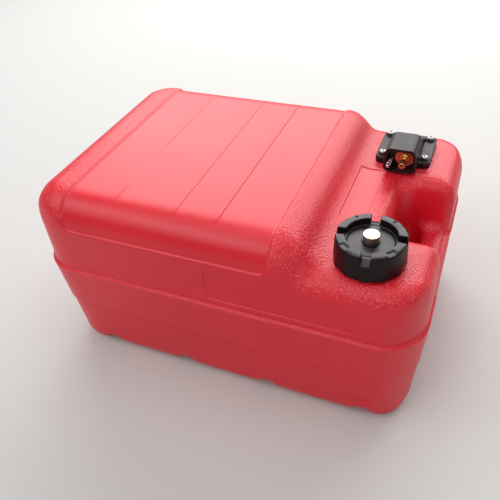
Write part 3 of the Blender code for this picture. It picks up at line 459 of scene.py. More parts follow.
# The same for the tank's own edges
def outerEdge(middle, along, inset):
    form = tankForm
    if along == "z" and abs(middle.x) > form["slopeFoot"]:
        return form["cornerRadius"]
    if along == "z":
        return (form["topEdgeRadius"] + form["deckEdgeRadius"]) / 2
    if middle.z < inset + near:
        return form["baseEdgeRadius"]
    if along == "y" and abs(middle.x - slopeTop) < form["wall"]:
        return form["slopeTopRadius"]
    if along == "y" and abs(middle.x - form["slopeFoot"]) < form["wall"]:
        return form["slopeFootRadius"]
    return form["topEdgeRadius"] if middle.z > deck + form["wall"] else form["deckEdgeRadius"]


# Every edge of the plain block is rounded by its own radius, through bevel weights
def roundEdges(piece, inset, steps):
    flat, slight = math.radians(1), math.radians(5)
    data = openMesh(piece)
    bmesh.ops.dissolve_limit(data, angle_limit=flat, verts=data.verts[:], edges=data.edges[:])
    weights = data.edges.layers.float.new("bevel_weight_edge")
    widest = tankForm["cornerRadius"]
    for edge in data.edges:
        turn = edge.calc_face_angle(0)
        if turn < slight:
            continue
        middle = (edge.verts[0].co + edge.verts[1].co) / 2
        run = edge.verts[1].co - edge.verts[0].co
        along = max("xyz", key=lambda axis: abs(getattr(run, axis)))
        inPocket = (middle.x > pocketForm["rear"] - inset - near
                    and pocketForm["near"] - inset - near < middle.y < pocketForm["far"] + inset + near
                    and middle.z > pocketForm["floor"] - inset - near)
        atRim = along == "y" and middle.z > deck - tankForm["wall"] and middle.x > pocketForm["barRear"]
        findRadius = pocketEdge if inPocket and not atRim else outerEdge
        radius = findRadius(middle, along, inset)
        radius += -inset if edge.is_convex else inset
        edge[weights] = radius * math.tan(turn / 2) / widest
    data.to_mesh(piece.data)
    data.free()
    rounding = piece.modifiers.new("rounding", "BEVEL")
    rounding.width = widest
    rounding.limit_method = "WEIGHT"
    rounding.segments = steps
    rounding.use_clamp_overlap = False
    return freeze(piece)


# The plain tank, or with an inset the room inside it, before anything is pressed in
def tankBlank(name, inset, steps):
    piece = sweep(name, tankSide(inset), sideways, inset - halfWidth, halfWidth - inset)
    pocket = sweep("pocket", pocketSide(inset), sideways,
                   pocketForm["near"] - inset, pocketForm["far"] + inset)
    trim(piece, [pocket], solver="EXACT")
    roundEdges(piece, inset, steps)
    grooves = []
    radius = tankForm["grooveRadius"] + inset
    for x in tankForm["groovePlaces"]:
        outline = arcPoints((x, tankForm["grooveLift"]), radius, 0, 180, tankForm["grooveSteps"])
        outline += [(x - radius, -overrun), (x + radius, -overrun)]
        grooves.append(sweep("groove", outline, sideways, -halfWidth - overrun, halfWidth + overrun))
    return trim(piece, grooves, solver="EXACT")


# What is pressed into the skin. The value of an edge is half the width in which it rises
pressed = {
    "panelRear": -190 * mm, "panelFront": 80 * mm, "panelBottom": 215 * mm, "panelCorner": 12 * mm,
    "panelDepth": 2.6 * mm, "panelEdge": 3.2 * mm, "panelLowEdge": 1.5 * mm, "panelCornerLines": 8,
    "ribShares": (0.24, 0.54, 0.74), "ribReach": 143 * mm, "ribHalfWidth": 1.5 * mm, "ribEdge": 0.4 * mm,
    "ribHeights": (0.5 * mm, 0.8 * mm, 0.9 * mm), "ribGap": (-107 * mm, -18 * mm),
    "labelDepth": 1 * mm, "labelEdge": 0.45 * mm, "labelCorner": 2.5 * mm,
    # lowest and highest x, lowest and highest y
    "deckLabel": (127 * mm, 158 * mm, -55 * mm, 55 * mm),
    # lowest and highest x, lowest and highest z, depth, half the width of the edge
    "sideMarks": ((0, 176 * mm, 159 * mm, 199 * mm, 1 * mm, 0.45 * mm),
                  (193 * mm, 207 * mm, 33 * mm, 48 * mm, 1.6 * mm, 0.9 * mm)),
    "padMargin": 3 * mm, "padHeight": 1 * mm, "padEdge": 0.8 * mm, "padCorner": 11 * mm,
    "bossRadius": 35 * mm, "bossHeight": 1.2 * mm,
    # how far under the deck's height a face may lie, and how much it has to look that way
    "labelReach": 10 * mm, "deckReach": 12 * mm, "sideFacing": 0.5, "labelFacing": 0.6, "deckFacing": 0.5,
}
ledgeFoot, ledgeTop = 147.6 * mm, 150.4 * mm
# (height, how far the sides are drawn in): the lean of the low band, its crease, the ledge, the upper part
sideStations = (
    (0, 9.4 * mm), (82 * mm, 4.8 * mm), (83.3 * mm, 5.6 * mm), (84.8 * mm, 3.6 * mm),
    (ledgeFoot, 0), (ledgeTop, 2.8 * mm), (tankTop, 3.8 * mm))
stationReach = 0.8 * mm
# How much of the mould's grain a place has
grainForm = {
    "uprightShare": 0.3, "risingFrom": 0.25, "risingStep": 0.2, "plainShare": 0.93,
    "ledgeShare": 0.78, "ledgeBelow": 1.5 * mm, "ledgeAbove": 1 * mm,
}
ribPlaces = [pressed["panelRear"] + (pressed["panelFront"] - pressed["panelRear"]) * share
             for share in pressed["ribShares"]]
plateLow, plateHigh, plateMiddle = nodeBox("fitting_gasket")
neckMiddle = nodeBox("cap_gasket")[2]
padSides = (plateLow.x - pressed["padMargin"], plateHigh.x + pressed["padMargin"],
            plateLow.y - pressed["padMargin"], plateHigh.y + pressed["padMargin"])
# Where lines are cut on both sides of an edge, in halves of its width
edgeLineShares = (-1.5, -0.9, -0.45, 0, 0.45, 0.9, 1.5)
ribLineShares = (-1.5, -1.3, -1, -0.7, -0.4, 0.4, 0.7, 1, 1.3, 1.5)
stationLineShares = (-1.2, -0.5, 0, 0.5, 1.2)
anywhere = (-math.inf, math.inf)


# Distance inside a rectangle with round corners; below 0 outside it
def insideBox(u, v, lowU, highU, lowV, highV, radius):
    qu = np.abs(u - (lowU + highU) / 2) - ((highU - lowU) / 2 - radius)
    qv = np.abs(v - (lowV + highV) / 2) - ((highV - lowV) / 2 - radius)
    outside = np.hypot(np.maximum(qu, 0), np.maximum(qv, 0))
    return radius - outside - np.minimum(np.maximum(qu, qv), 0)


# From 0 to 1 where distance passes 0
def softStep(distance, halfStep):
    share = np.clip(0.5 + distance / (2 * halfStep), 0, 1)
    return share * share * (3 - 2 * share)


# A test for places that lie in a stretch of each axis; mirrored takes both sides of the tank
def within(x=anywhere, y=anywhere, z=anywhere, mirrored=False):
    def wanted(place):
        across = abs(place.y) if mirrored else place.y
        return x[0] < place.x < x[1] and y[0] < across < y[1] and z[0] < place.z < z[1]
    return wanted


def around(place, reach):
    return (place - reach, place + reach)


# Cuts the faces whose middles are wanted by planes across one axis
def sliceFaces(data, wanted, axis, places):
    normal = Vector([float(axis == letter) for letter in "xyz"])
    faces = [face for face in data.faces if wanted(face.calc_center_median())]
    geometry = list({item for face in faces for item in (*face.verts, *face.edges)}) + faces
    for place in places:
        cut = bmesh.ops.bisect_plane(
            data, geom=geometry, plane_co=normal * place, plane_no=normal, dist=touching)
        geometry = cut["geom"]


def linesAt(place, halfStep, shares=edgeLineShares):
    return [place + halfStep * share for share in shares]


# Lines along all four edges of a rectangle, on the faces within room of it. Its sides are the lowest
# and highest place on the first axis, then on the second, and where says which part of the third
def frameLines(data, axes, sides, where, halfStep, room, beside):
    stretches = {axes[0]: sides[:2], axes[1]: sides[2:]}
    for axis, other in (axes, axes[::-1]):
        low, high = stretches[other]
        for place in stretches[axis]:
            box = {**where, axis: around(place, room), other: (low - beside, high + beside)}
            sliceFaces(data, within(**box), axis, linesAt(place, halfStep))


# Close lines where something is pressed in, so that its edge has faces to stand on
def addLines(piece):
    data = openMesh(piece)
    form = pressed
    room = 3 * tankForm["voxel"]
    bottom, corner = form["panelBottom"], form["panelCorner"]
    atSides = (halfWidth - 2 * room, math.inf)
    for place in (form["panelRear"], form["panelFront"]):
        wanted = within(x=around(place, room), z=(bottom - room, math.inf))
        sliceFaces(data, wanted, "x", linesAt(place, form["panelEdge"]))
    wanted = within(z=around(bottom, room), y=atSides, mirrored=True)
    sliceFaces(data, wanted, "z", linesAt(bottom, form["panelLowEdge"]))
    count = form["panelCornerLines"]
    steps = [corner * number / count for number in range(1, count + 1)]
    for place, way in ((form["panelRear"], 1), (form["panelFront"], -1)):
        across = sorted((place - way * room, place + way * (corner + room)))
        wanted = within(x=across, y=atSides, z=(bottom - room, bottom + corner + room), mirrored=True)
        sliceFaces(data, wanted, "x", [place + way * step for step in steps])
        sliceFaces(data, wanted, "z", [bottom + step for step in steps])

    halfRib = form["ribHalfWidth"]
    for x in ribPlaces:
        wanted = within(x=around(x, room), z=(tankTop - room, math.inf))
        sliceFaces(data, wanted, "x", linesAt(x, halfRib, ribLineShares))
        for end in (-form["ribReach"], form["ribReach"]):
            wanted = within(x=around(x, room / 2), y=around(end, room), z=(deck, math.inf))
            sliceFaces(data, wanted, "y", linesAt(end, halfRib))

    nearSide = {"y": (-math.inf, 2 * room - halfWidth)}
    for *mark, edge in form["sideMarks"]:
        frameLines(data, "xz", mark[:4], nearSide, edge, room, room)
    frameLines(data, "xy", form["deckLabel"], {"z": (deck - room, math.inf)}, form["labelEdge"], room, room)
    frameLines(data, "xy", padSides, {"z": around(deck, room)}, form["padEdge"],
               room, 2 * room - form["padMargin"])

    def atSide(place, height):
        beyondX, beyondY = abs(place.x) - halfLength, abs(place.y) - halfWidth
        atCorner = math.hypot(beyondX, beyondY) < 2 * tankForm["cornerRadius"]
        return abs(place.z - height) < room and (beyondX > -2 * room or beyondY > -2 * room or atCorner)

    for height in [station[0] for station in sideStations[1:-1]]:
        sliceFaces(data, lambda place, height=height: atSide(place, height), "z",
                   linesAt(height, stationReach, stationLineShares))
    data.to_mesh(piece.data)
    data.free()


def pointValues(points, name):
    values = np.zeros(len(points) * 3)
    points.foreach_get(name, values)
    return values.reshape(-1, 3)


# The sunken panel, from one side over the top to the other: its edge is sharper low on the sides
def pressPanel(spots):
    form = pressed
    x, z = spots[:, 0], spots[:, 2]
    border = insideBox(x, z, form["panelRear"], form["panelFront"], form["panelBottom"], 2 * tankTop,
                       form["panelCorner"])
    low = form["panelBottom"] + form["panelCorner"] / 2
    edge = np.interp(z, (low, low + 2 * form["panelCorner"]), (form["panelLowEdge"], form["panelEdge"]))
    return -form["panelDepth"] * softStep(border, edge), softStep(border - edge, edge / 2)


# Labels, ribs, the fitting's pad, the neck's boss and the waves of a blown wall
def pressDetails(spots, facing, height, plain):
    form = pressed
    x, y, z = spots.T
    for *mark, depth, halfEdge in form["sideMarks"]:
        side = softStep(insideBox(x, z, *mark, form["labelCorner"]), halfEdge)
        side *= facing[:, 1] < -form["sideFacing"]
        height -= depth * side
        plain = np.maximum(plain, side)
    top = softStep(insideBox(x, y, *form["deckLabel"], form["labelCorner"]), form["labelEdge"])
    top *= (facing[:, 2] > form["labelFacing"]) & (z > deck - form["labelReach"])
    height -= form["labelDepth"] * top
    plain = np.maximum(plain, top)
    for place, rise in zip(ribPlaces, form["ribHeights"]):
        beyond = np.maximum(np.abs(y) - form["ribReach"], 0)
        if place == ribPlaces[0]:  # the rear rib is broken in the middle
            beyond = np.maximum(beyond, np.minimum(y - form["ribGap"][0], form["ribGap"][1] - y))
        distance = np.hypot(x - place, beyond)
        height += rise * softStep(form["ribHalfWidth"] - distance, form["ribEdge"]) * (z > deck)
    pad = softStep(insideBox(x, y, *padSides, form["padCorner"]), form["padEdge"])
    onDeck = (facing[:, 2] > form["deckFacing"]) & (z > deck - form["deckReach"])
    height += form["padHeight"] * pad * onDeck
    boss = softStep(form["bossRadius"] - np.hypot(x - neckMiddle.x, y - neckMiddle.y), form["padEdge"])
    height += form["bossHeight"] * boss * onDeck
    waves = np.array([noise.noise(Vector(spot) / tankForm["waveWidth"]) for spot in spots])
    base = tankForm["baseEdgeRadius"]
    waving = np.clip((z - 1.5 * base) / base, 0, 1)  # none on the floor and its edges
    height += tankForm["waviness"] * waves * waving * (1 - pad)
    return height, plain


# Moves each point of the skin along its normal by what is pressed there, then draws in the sides
def pressSkin(piece, withDetails):
    mesh = piece.data
    spots, facing = pointValues(mesh.vertices, "co"), pointValues(mesh.vertex_normals, "vector")
    height, plain = pressPanel(spots)
    if withDetails:
        height, plain = pressDetails(spots, facing, height, plain)
    moved = spots + facing * height[:, None]
    levels, insets = zip(*sideStations)
    inset = np.interp(moved[:, 2], levels, insets)
    moved[:, 0] *= 1 - inset / halfLength
    moved[:, 1] *= 1 - inset / halfWidth
    mesh.vertices.foreach_set("co", moved.astype(np.float32).ravel())

    form = grainForm
    rising = softStep(facing[:, 2] - form["risingFrom"], form["risingStep"])
    share = form["uprightShare"] + (1 - form["uprightShare"]) * rising
    onLedge = (spots[:, 2] > ledgeFoot - form["ledgeBelow"]) & (spots[:, 2] < ledgeTop + form["ledgeAbove"])
    share = np.maximum(share, form["ledgeShare"] * onLedge)
    grain = mesh.attributes.new("grain", "FLOAT", "POINT")
    grain.data.foreach_set("value", ((1 - form["plainShare"] * plain) * share).astype(np.float32))
    mesh.update()


neckForm = {
    "radius": 30.8 * mm, "height": 20 * mm, "boreRadius": 26 * mm, "boreDepth": 30 * mm,
    "footReach": 3 * mm, "footRise": 2 * mm, "footSink": 0.3 * mm, "footEase": 2 * mm, "rimEase": 0.8 * mm,
    "pitch": 8 * mm, "start": 4.5 * mm, "turns": 1.5, "depth": 2.2 * mm, "root": 4 * mm, "crest": 1.8 * mm,
    "threadSink": 0.5 * mm, "fadeSteps": 9, "thinnestShare": 0.04,
}


# One screw ridge about Z: outwards from radius, or inwards where depth is below 0
def screwRidge(name, radius, depth, start, turns, root, crest, steps=72, firstTurn=0.0):
    data = bmesh.new()
    count = round(turns * steps)
    sunk = -math.copysign(neckForm["threadSink"], depth)
    fadeSteps = neckForm["fadeSteps"]
    rings = []
    for step in range(count + 1):
        turn = math.tau * (step / steps + firstTurn)
        level = start + neckForm["pitch"] * step / steps
        fade = min(1, step / fadeSteps, (count - step) / fadeSteps)
        peak = radius + depth * max(fade, neckForm["thinnestShare"])
        section = [(radius + sunk, level - root / 2), (peak, level - crest / 2),
                   (peak, level + crest / 2), (radius + sunk, level + root / 2)]
        rings.append([data.verts.new((r * math.cos(turn), r * math.sin(turn), h)) for r, h in section])
    for first, second in zip(rings, rings[1:]):
        for corner in range(4):
            after = (corner + 1) % 4
            data.faces.new((first[corner], second[corner], second[after], first[after]))
    data.faces.new(rings[0])
    data.faces.new(rings[-1])
    return putMesh(name, data)


def makeNeck():
    form = neckForm
    radius, top, wall, boss = form["radius"], form["height"], tankForm["wall"], pressed["bossHeight"]
    foot = radius + form["footReach"]
    points = [(0, -wall), (foot, -wall), (foot, boss - form["footSink"]), (radius, boss + form["footRise"]),
              (radius, top), (0, top)]
    neck = lathe("neck", easeProfile(points, [0, 0, 0, form["footEase"], form["rimEase"], 0]), steps=120)
    thread = screwRidge("thread", radius, form["depth"], form["start"], form["turns"],
                        form["root"], form["crest"])
    return trim(neck, [thread], "UNION")


# The fuel's room: the tank's inside with the neck's bore and the fitting's port
def makeRoom():
    form = tankForm
    room = softSkin(tankBlank("room", form["wall"], form["insideEdgeSteps"]),
                    form["insideVoxel"], form["insideEasePasses"])
    pressSkin(room, False)
    bore = rodBetween("bore", neckForm["boreRadius"], -neckForm["boreDepth"], neckForm["height"] + overrun)
    trim(room, [moveTo(bore, (neckMiddle.x, neckMiddle.y, deck))], "UNION")
    spigot = nodeBox("pickup_tube")[2]
    port = rodBetween("port", form["portRadius"], -neckForm["boreDepth"], overrun, steps=48)
    return trim(room, [moveTo(port, (spigot.x, spigot.y, deck))], "UNION")


def makeTank():
    form = tankForm
    skin = softSkin(tankBlank("tankSkin", 0, form["edgeSteps"]), form["voxel"], form["easePasses"])
    addLines(skin)
    pressSkin(skin, True)
    trim(skin, [moveTo(makeNeck(), (neckMiddle.x, neckMiddle.y, deck))], "UNION")
    room = makeRoom()
    for number in range(1, 5):
        low, high, middle = nodeBox(f"screw_insert_{number}")
        socket = rodBetween("socket", (high.x - low.x) / 2 + gap, low.z - gap, deck + overrun, steps=32)
        trim(skin, [moveTo(socket, (middle.x, middle.y, 0))])
    trim(skin, [room])
    shadeRound(skin)
    dress(skin, mouldedPolyethylene())
    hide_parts("tank_body")
    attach(skin, "tank")
    print("tank skin:", len(skin.data.polygons), "faces")


makeTank()

# Filler cap

capForm = {
    "radius": 39 * mm, "wall": 4.6 * mm, "taper": 1.6 * mm, "topRadius": 2.6 * mm, "sides": 12,
    "footEase": 0.8 * mm, "insideFootEase": 0.6 * mm,
    "plateauRadius": 24.5 * mm, "plateauStep": 0.6 * mm, "ringInner": 27.5 * mm, "ringHeight": 7.8 * mm,
    "roof": 3 * mm, "hole": 8.3 * mm,
    "slots": 4, "slotWidth": 10 * mm, "rampStart": 29.5 * mm, "rampDrop": 4 * mm,
    "notchWidth": 10 * mm, "notchDepth": 1.1 * mm, "notchReach": 8.5 * mm, "flatDepth": 0.9 * mm,
    "threadDepth": 3.0 * mm, "threadRoot": 3.6 * mm, "threadCrest": 1.4 * mm, "threadTurns": 1.15,
    "threadFirstTurn": -0.4, "threadRiseShare": 0.1,
    "turnAtRest": 4.0, "voxel": 0.62 * mm, "easePasses": 2,
    # shadedSideShine is the side's lower shine: painted shade
    "colour": "#150B0D", "roughness": 0.36, "topShine": 0.5, "shadedSideShine": 0.17, "flattestSide": 0.6,
}


# The cap's side, its grip ring, the groove inside that, the plateau with the vent's hole, and its inside
def capRound(bottom, top):
    form = capForm
    floor = top - form["ringHeight"]
    ceiling = floor - form["roof"]
    radius, step = form["radius"], form["plateauStep"]
    inner = radius - form["wall"]
    edge = radius - form["taper"] - form["topRadius"]
    return lathe("capShell", [
        (inner + form["insideFootEase"], bottom), (radius - form["footEase"], bottom),
        (radius, bottom + form["footEase"]),
        *arcPoints((edge, top - form["topRadius"]), form["topRadius"], 0, 90, steps=6),
        (form["ringInner"], top), (form["ringInner"] - step, floor - step),
        (form["plateauRadius"] + step, floor - step), (form["plateauRadius"], floor),
        (form["hole"], floor), (form["hole"], ceiling), (inner, ceiling),
        (inner, bottom + form["insideFootEase"]),
    ], steps=144)


# One slot through the grip ring, the ramp that it ends in, and the shallow notch between two slots
def cutSlot(cap, turn, top):
    form = capForm
    floor, radius, half = top - form["ringHeight"], form["radius"], form["slotWidth"] / 2
    outside = radius + overrun
    slot = block("slot", (form["ringInner"] - form["wall"], -half, floor), (outside, half, top + overrun))
    start = form["rampStart"]
    lowest = floor - form["rampDrop"] * (1 + overrun / (radius - start))
    ramp = sweep("ramp", [(start, top), (start, floor), (outside, lowest), (outside, top)],
                 sideways, -half, half)
    half = form["notchWidth"] / 2
    notch = block("notch", (radius - form["notchReach"], -half, top - form["notchDepth"]),
                  (outside, half, top + overrun))
    spin(notch, math.pi / form["slots"])
    trim(cap, [spin(tool, turn) for tool in (slot, ramp, notch)])


def makeCap():
    form = capForm
    low, high, middle = nodeBox("cap_shell")
    bottom, top = low.z, high.z
    cap = capRound(bottom, top)
    flats = (form["radius"] - form["flatDepth"]) / math.cos(math.pi / form["sides"])
    turns = [math.tau * (side + 0.5) / form["sides"] + math.pi / 4 for side in range(form["sides"])]
    outline = [(flats * math.cos(turn), flats * math.sin(turn)) for turn in turns]
    trim(cap, [sweep("flats", outline, upwards, bottom - overrun, top + overrun)], "INTERSECT")
    for number in range(form["slots"]):
        cutSlot(cap, math.tau * number / form["slots"], top)
    start = deck + neckForm["start"] + form["threadRiseShare"] * neckForm["pitch"]
    thread = screwRidge("capThread", form["radius"] - form["wall"], -form["threadDepth"], start,
                        form["threadTurns"], form["threadRoot"], form["threadCrest"],
                        firstTurn=form["threadFirstTurn"])
    trim(cap, [thread], "UNION")
    softSkin(cap, form["voxel"], form["easePasses"])
    spin(cap, math.radians(form["turnAtRest"]))
    moveTo(cap, (middle.x, middle.y, 0))
    shadeRound(cap)
    # Moulded black nylon, satin on top. The side is a copy with less shine, split off by facing: painted
    # shade, so that the side reads darker than the top
    satin = mouldedPlastic("mouldedNylonCap", form["colour"], form["roughness"], form["topShine"])
    paintedShadeSide = mouldedPlastic("nylonCapSidePaintedShade", form["colour"], form["roughness"], form["shadedSideShine"])
    dressTopAndSide(cap, satin, paintedShadeSide, form["flattestSide"])
    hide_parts("cap_shell")
    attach(cap, "cap")
    print("cap:", len(cap.data.polygons), "faces")


makeCap()

# Vent knob and its bush

ventForm = {
    "headRadius": 8.5 * mm, "headHeight": 6.6 * mm, "headDrop": 0.4 * mm,
    "headFootEase": 0.25 * mm, "headTopEase": 0.3 * mm,
    "stemRadius": 3 * mm, "stemEndRadius": 2.2 * mm, "stemEase": 0.3 * mm, "shoulderEase": 0.2 * mm,
    "shoulderRise": 1 * mm, "sharpAngle": 30.0,
    "flangeRadius": 10 * mm, "flangeHeight": 1.8 * mm, "flangeTaper": 0.5 * mm, "flangeFootEase": 0.4 * mm,
    "flangeTopEase": 0.6 * mm, "barrelRadius": 8 * mm, "barrelEase": 0.3 * mm,
    "sealRadius": 6.7 * mm, "sealEase": 0.2 * mm,
    # paintedLightSideColour and paintedLightSideRoughness give the side its painted reflection and shade
    "colour": "#D9C6AE", "roughness": 0.17, "paintedLightSideColour": "#E8C0A6", "paintedLightSideRoughness": 0.4,
    "flattestSide": 0.5, "ringHeight": 0.0015 * mm, "bushColour": "#151314", "bushRoughness": 0.34,
}


def makeKnob():
    form = ventForm
    low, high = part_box("vent_knob")
    place = ((low.x + high.x) / 2, (low.y + high.y) / 2, 0)
    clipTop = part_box("vent_clip")[1].z
    headTop, headFoot, radius = high.z - form["headDrop"], high.z - form["headHeight"], form["headRadius"]
    stem, stemEnd = form["stemRadius"], form["stemEndRadius"]
    points = [(0, low.z), (stemEnd, low.z), (stemEnd, clipTop + gap), (stem, clipTop + form["shoulderRise"]),
              (stem, headFoot), (radius, headFoot), (radius, headTop), (0, headTop)]
    eases = [0, form["stemEase"], 0, form["shoulderEase"], 0, form["headFootEase"], form["headTopEase"], 0]
    knob = moveTo(lathe("ventKnob", easeProfile(points, eases)), place)
    shadeRound(knob, math.radians(form["sharpAngle"]))
    # Turned brass under nickel plating, bright on top. The side gets a warmer, rougher copy, split off by
    # facing: painted reflection and shade
    plated = turnedMetal("nickelPlatedBrass", form["colour"], form["roughness"], place,
                         ringHeight=form["ringHeight"])
    paintedLightLook = turnedMetal("paintedLightBrassSide", form["paintedLightSideColour"], form["paintedLightSideRoughness"], place,
                       ringHeight=form["ringHeight"])
    dressTopAndSide(knob, plated, paintedLightLook, form["flattestSide"])
    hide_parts("vent_knob")
    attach(knob, "vent")
    return place


def makeBush(place):
    form = ventForm
    low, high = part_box("vent_bush")
    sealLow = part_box("vent_seal")[0].z - gap
    flangeFoot = high.z - form["flangeHeight"]
    hole, barrel = form["stemRadius"] + gap, form["barrelRadius"]
    flange, seal = form["flangeRadius"], form["sealRadius"]
    points = [(hole, low.z), (barrel, low.z), (barrel, flangeFoot), (flange, flangeFoot),
              (flange - form["flangeTaper"], high.z), (seal, high.z), (seal, sealLow), (hole, sealLow)]
    eases = [0, form["barrelEase"], 0, form["flangeFootEase"], form["flangeTopEase"], form["sealEase"], 0, 0]
    bush = moveTo(lathe("ventBush", easeProfile(points, eases)), place)
    shadeRound(bush)
    # Acetal, moulded: black, smooth and a little oily
    dress(bush, mouldedPlastic("mouldedAcetalBush", form["bushColour"], form["bushRoughness"]))
    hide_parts("vent_bush")
    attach(bush, "cap")
    print("vent made")


makeBush(makeKnob())

# Fuel fitting: plate and hood

fittingForm = {
    "cornerRadius": 8 * mm, "edgeRadius": 1.5 * mm, "edgeSteps": 3, "edgeAngle": 50.0, "thickness": 6.5 * mm,
    "hoodFrontReach": 54.25 * mm, "hoodBackReach": 11.25 * mm, "hoodToeReach": 27.75 * mm,
    "hoodTopHalf": 18.2 * mm, "hoodFootHalf": 20.4 * mm, "hoodFootRadius": 7 * mm, "hoodRadius": 7 * mm,
    "hoodSteps": 10,
    "mouthHalf": 17.2 * mm, "mouthTopHalf": 15.2 * mm, "mouthRoof": 3.5 * mm, "mouthFloor": 2 * mm,
    "mouthRadius": 6 * mm, "mouthDepth": 16 * mm, "mouthSteps": 8,
    "bossRadius": 6.4 * mm, "bossHeight": 2 * mm, "bossRoot": 1 * mm, "bossEase": 0.7 * mm,
    "screwHole": 2.7 * mm, "headSeat": 5.2 * mm, "nippleHole": 5 * mm,
    "spigotRadius": 10 * mm, "spigotLength": 17 * mm, "barbRadius": 4 * mm, "barbLength": 14 * mm,
    "wayRadius": 2.2 * mm, "wayDepth": 60 * mm, "voxel": 0.55 * mm, "easePasses": 2,
    "colour": "#23171A", "roughness": 0.4, "shine": 0.25,
}


# The plate on its gasket, with its upper and lower edges rounded
def makePlate(bottom, top):
    form = fittingForm
    halfX, halfY = (plateHigh.x - plateLow.x) / 2, (plateHigh.y - plateLow.y) / 2
    plate = sweep("fittingHousing", roundCorners(halfX, halfY, form["cornerRadius"]),
                  lambda x, y, z: (plateMiddle.x + x, plateMiddle.y + y, z), bottom, top)
    edges = plate.modifiers.new("edges", "BEVEL")
    edges.width = form["edgeRadius"]
    edges.segments = form["edgeSteps"]
    edges.angle_limit = math.radians(form["edgeAngle"])
    return freeze(plate)


# Rounds the edges that run along Y for more than least, above lowest
def roundRuns(data, least, lowest, radius, steps):
    runs = [edge for edge in data.edges
            if min(corner.co.z for corner in edge.verts) > lowest
            and abs(edge.verts[0].co.y - edge.verts[1].co.y) > least]
    bmesh.ops.bevel(data, geom=runs, offset=radius, segments=steps, profile=0.5, affect="EDGES")


# The hood stands on round feet, and its back slopes down to the plate
def makeHood(bottom, top, hoodTop):
    form = fittingForm
    foot = form["hoodFootRadius"]
    footX, footZ = form["hoodFootHalf"] - foot, bottom + foot
    steps = form["hoodSteps"]
    section = [*arcPoints((-footX, footZ), foot, 180, 270, steps),
               *arcPoints((footX, footZ), foot, 270, 360, steps),
               (form["hoodTopHalf"], hoodTop), (-form["hoodTopHalf"], hoodTop)]
    front, back = plateMiddle.y - form["hoodFrontReach"], plateMiddle.y - form["hoodBackReach"]
    toe, toeTop = plateMiddle.y + form["hoodToeReach"], top + form["edgeRadius"]
    data = bmesh.new()
    rings = []
    for y, limit in ((front, hoodTop), (back, hoodTop), (toe, toeTop)):
        rings.append([data.verts.new((plateMiddle.x + x, y, min(z, limit))) for x, z in section])
    for first, second in zip(rings, rings[1:]):
        for corner in range(len(section)):
            after = (corner + 1) % len(section)
            data.faces.new((first[corner], first[after], second[after], second[corner]))
    data.faces.new(rings[0])
    data.faces.new(rings[-1])
    roundRuns(data, form["hoodRadius"], toeTop - near, form["hoodRadius"], steps)
    return putMesh("hood", data)


def makeMouth(bottom, hoodTop):
    form = fittingForm
    half, topHalf = form["mouthHalf"], form["mouthTopHalf"]
    floor, roof = bottom + form["mouthFloor"], hoodTop - form["mouthRoof"]
    front = plateMiddle.y - form["hoodFrontReach"]
    mouth = sweep("mouth", [(-half, floor), (half, floor), (topHalf, roof), (-topHalf, roof)],
                  lambda x, z, y: (plateMiddle.x + x, y, z), front - overrun, front + form["mouthDepth"])
    data = openMesh(mouth)
    roundRuns(data, form["mouthDepth"], -math.inf, form["mouthRadius"], form["mouthSteps"])
    data.to_mesh(mouth.data)
    data.free()
    return mouth


# The spigot hangs in the tank's port, and the suction tube is pushed over its barb
def makeSpigot(place):
    form = fittingForm
    radius, barb, root = form["spigotRadius"], form["barbRadius"], form["mouthFloor"]
    foot = -form["spigotLength"]
    end = foot - form["barbLength"]
    profile = [(0, root), (radius, root), (radius, foot), (barb, foot), (barb, end), (0, end)]
    return moveTo(lathe("spigot", profile, steps=48), place)


# A round bar from start to end
def bar(start, end, radius, steps=40):
    run = Vector(end) - Vector(start)
    return moveTo(rodBetween("bar", radius, 0, run.length, steps), start, run.normalized())


def makeHousing():
    form = fittingForm
    bottom = plateHigh.z + gap
    top = bottom + form["thickness"]
    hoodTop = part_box("fitting_housing")[1].z
    plate = makePlate(bottom, top)
    trim(plate, [makeHood(bottom, top, hoodTop)], "UNION", "EXACT")

    root, seat, boss = bottom + form["bossRoot"], top + form["bossHeight"], form["bossRadius"]
    screws = [nodeBox(f"fitting_screw_{number}")[2] for number in range(1, 5)]
    additions = []
    for screw in screws:
        profile = easeProfile([(0, root), (boss, root), (boss, seat), (0, seat)], [0, 0, form["bossEase"], 0])
        additions.append(moveTo(lathe("boss", profile, steps=48), (screw.x, screw.y, 0)))
    pickup = nodeBox("pickup_tube")[2]
    additions.append(makeSpigot((pickup.x, pickup.y, bottom)))
    trim(plate, additions, "UNION", "EXACT")

    discLow, discHigh, disc = nodeBox("connector_disc")
    nippleRoot, nipple = nodeBox("fuel_nipple")[1:]
    pinLow, pinHigh, pin = nodeBox("guide_pin")
    front, way = discLow.y - overrun / 2, form["wayRadius"]
    cuts = [
        makeMouth(bottom, hoodTop),
        bar((disc.x, front, disc.z), (disc.x, discHigh.y + gap, disc.z),
            (discHigh.x - discLow.x) / 2 + gap, steps=64),
        bar((nipple.x, discLow.y, nipple.z), (nipple.x, nippleRoot.y + gap, nipple.z),
            form["nippleHole"] + gap),
        bar((nipple.x, nippleRoot.y - gap, nipple.z), (nipple.x, pickup.y + way, nipple.z), way),
        bar((pickup.x, pickup.y, nipple.z), (pickup.x, pickup.y, bottom - form["wayDepth"]), way),
        bar((pin.x, front, pin.z), (pin.x, pinHigh.y + gap, pin.z), (pinHigh.x - pinLow.x) / 2 + gap),
    ]
    for screw in screws:
        above = (screw.x, screw.y, seat + overrun)
        cuts.append(bar((screw.x, screw.y, bottom - overrun / 4), above, form["screwHole"]))
        cuts.append(bar((screw.x, screw.y, seat), above, form["headSeat"]))
    trim(plate, cuts, solver="EXACT")
    softSkin(plate, form["voxel"], form["easePasses"])
    shadeRound(plate)
    # Moulded black nylon, greyer and duller than the cap
    dress(plate, mouldedPlastic("mouldedNylonFitting", form["colour"], form["roughness"], form["shine"]))
    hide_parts("fitting_housing")
    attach(plate, "tank")
    print("fitting:", len(plate.data.polygons), "faces")


makeHousing()

# Screws

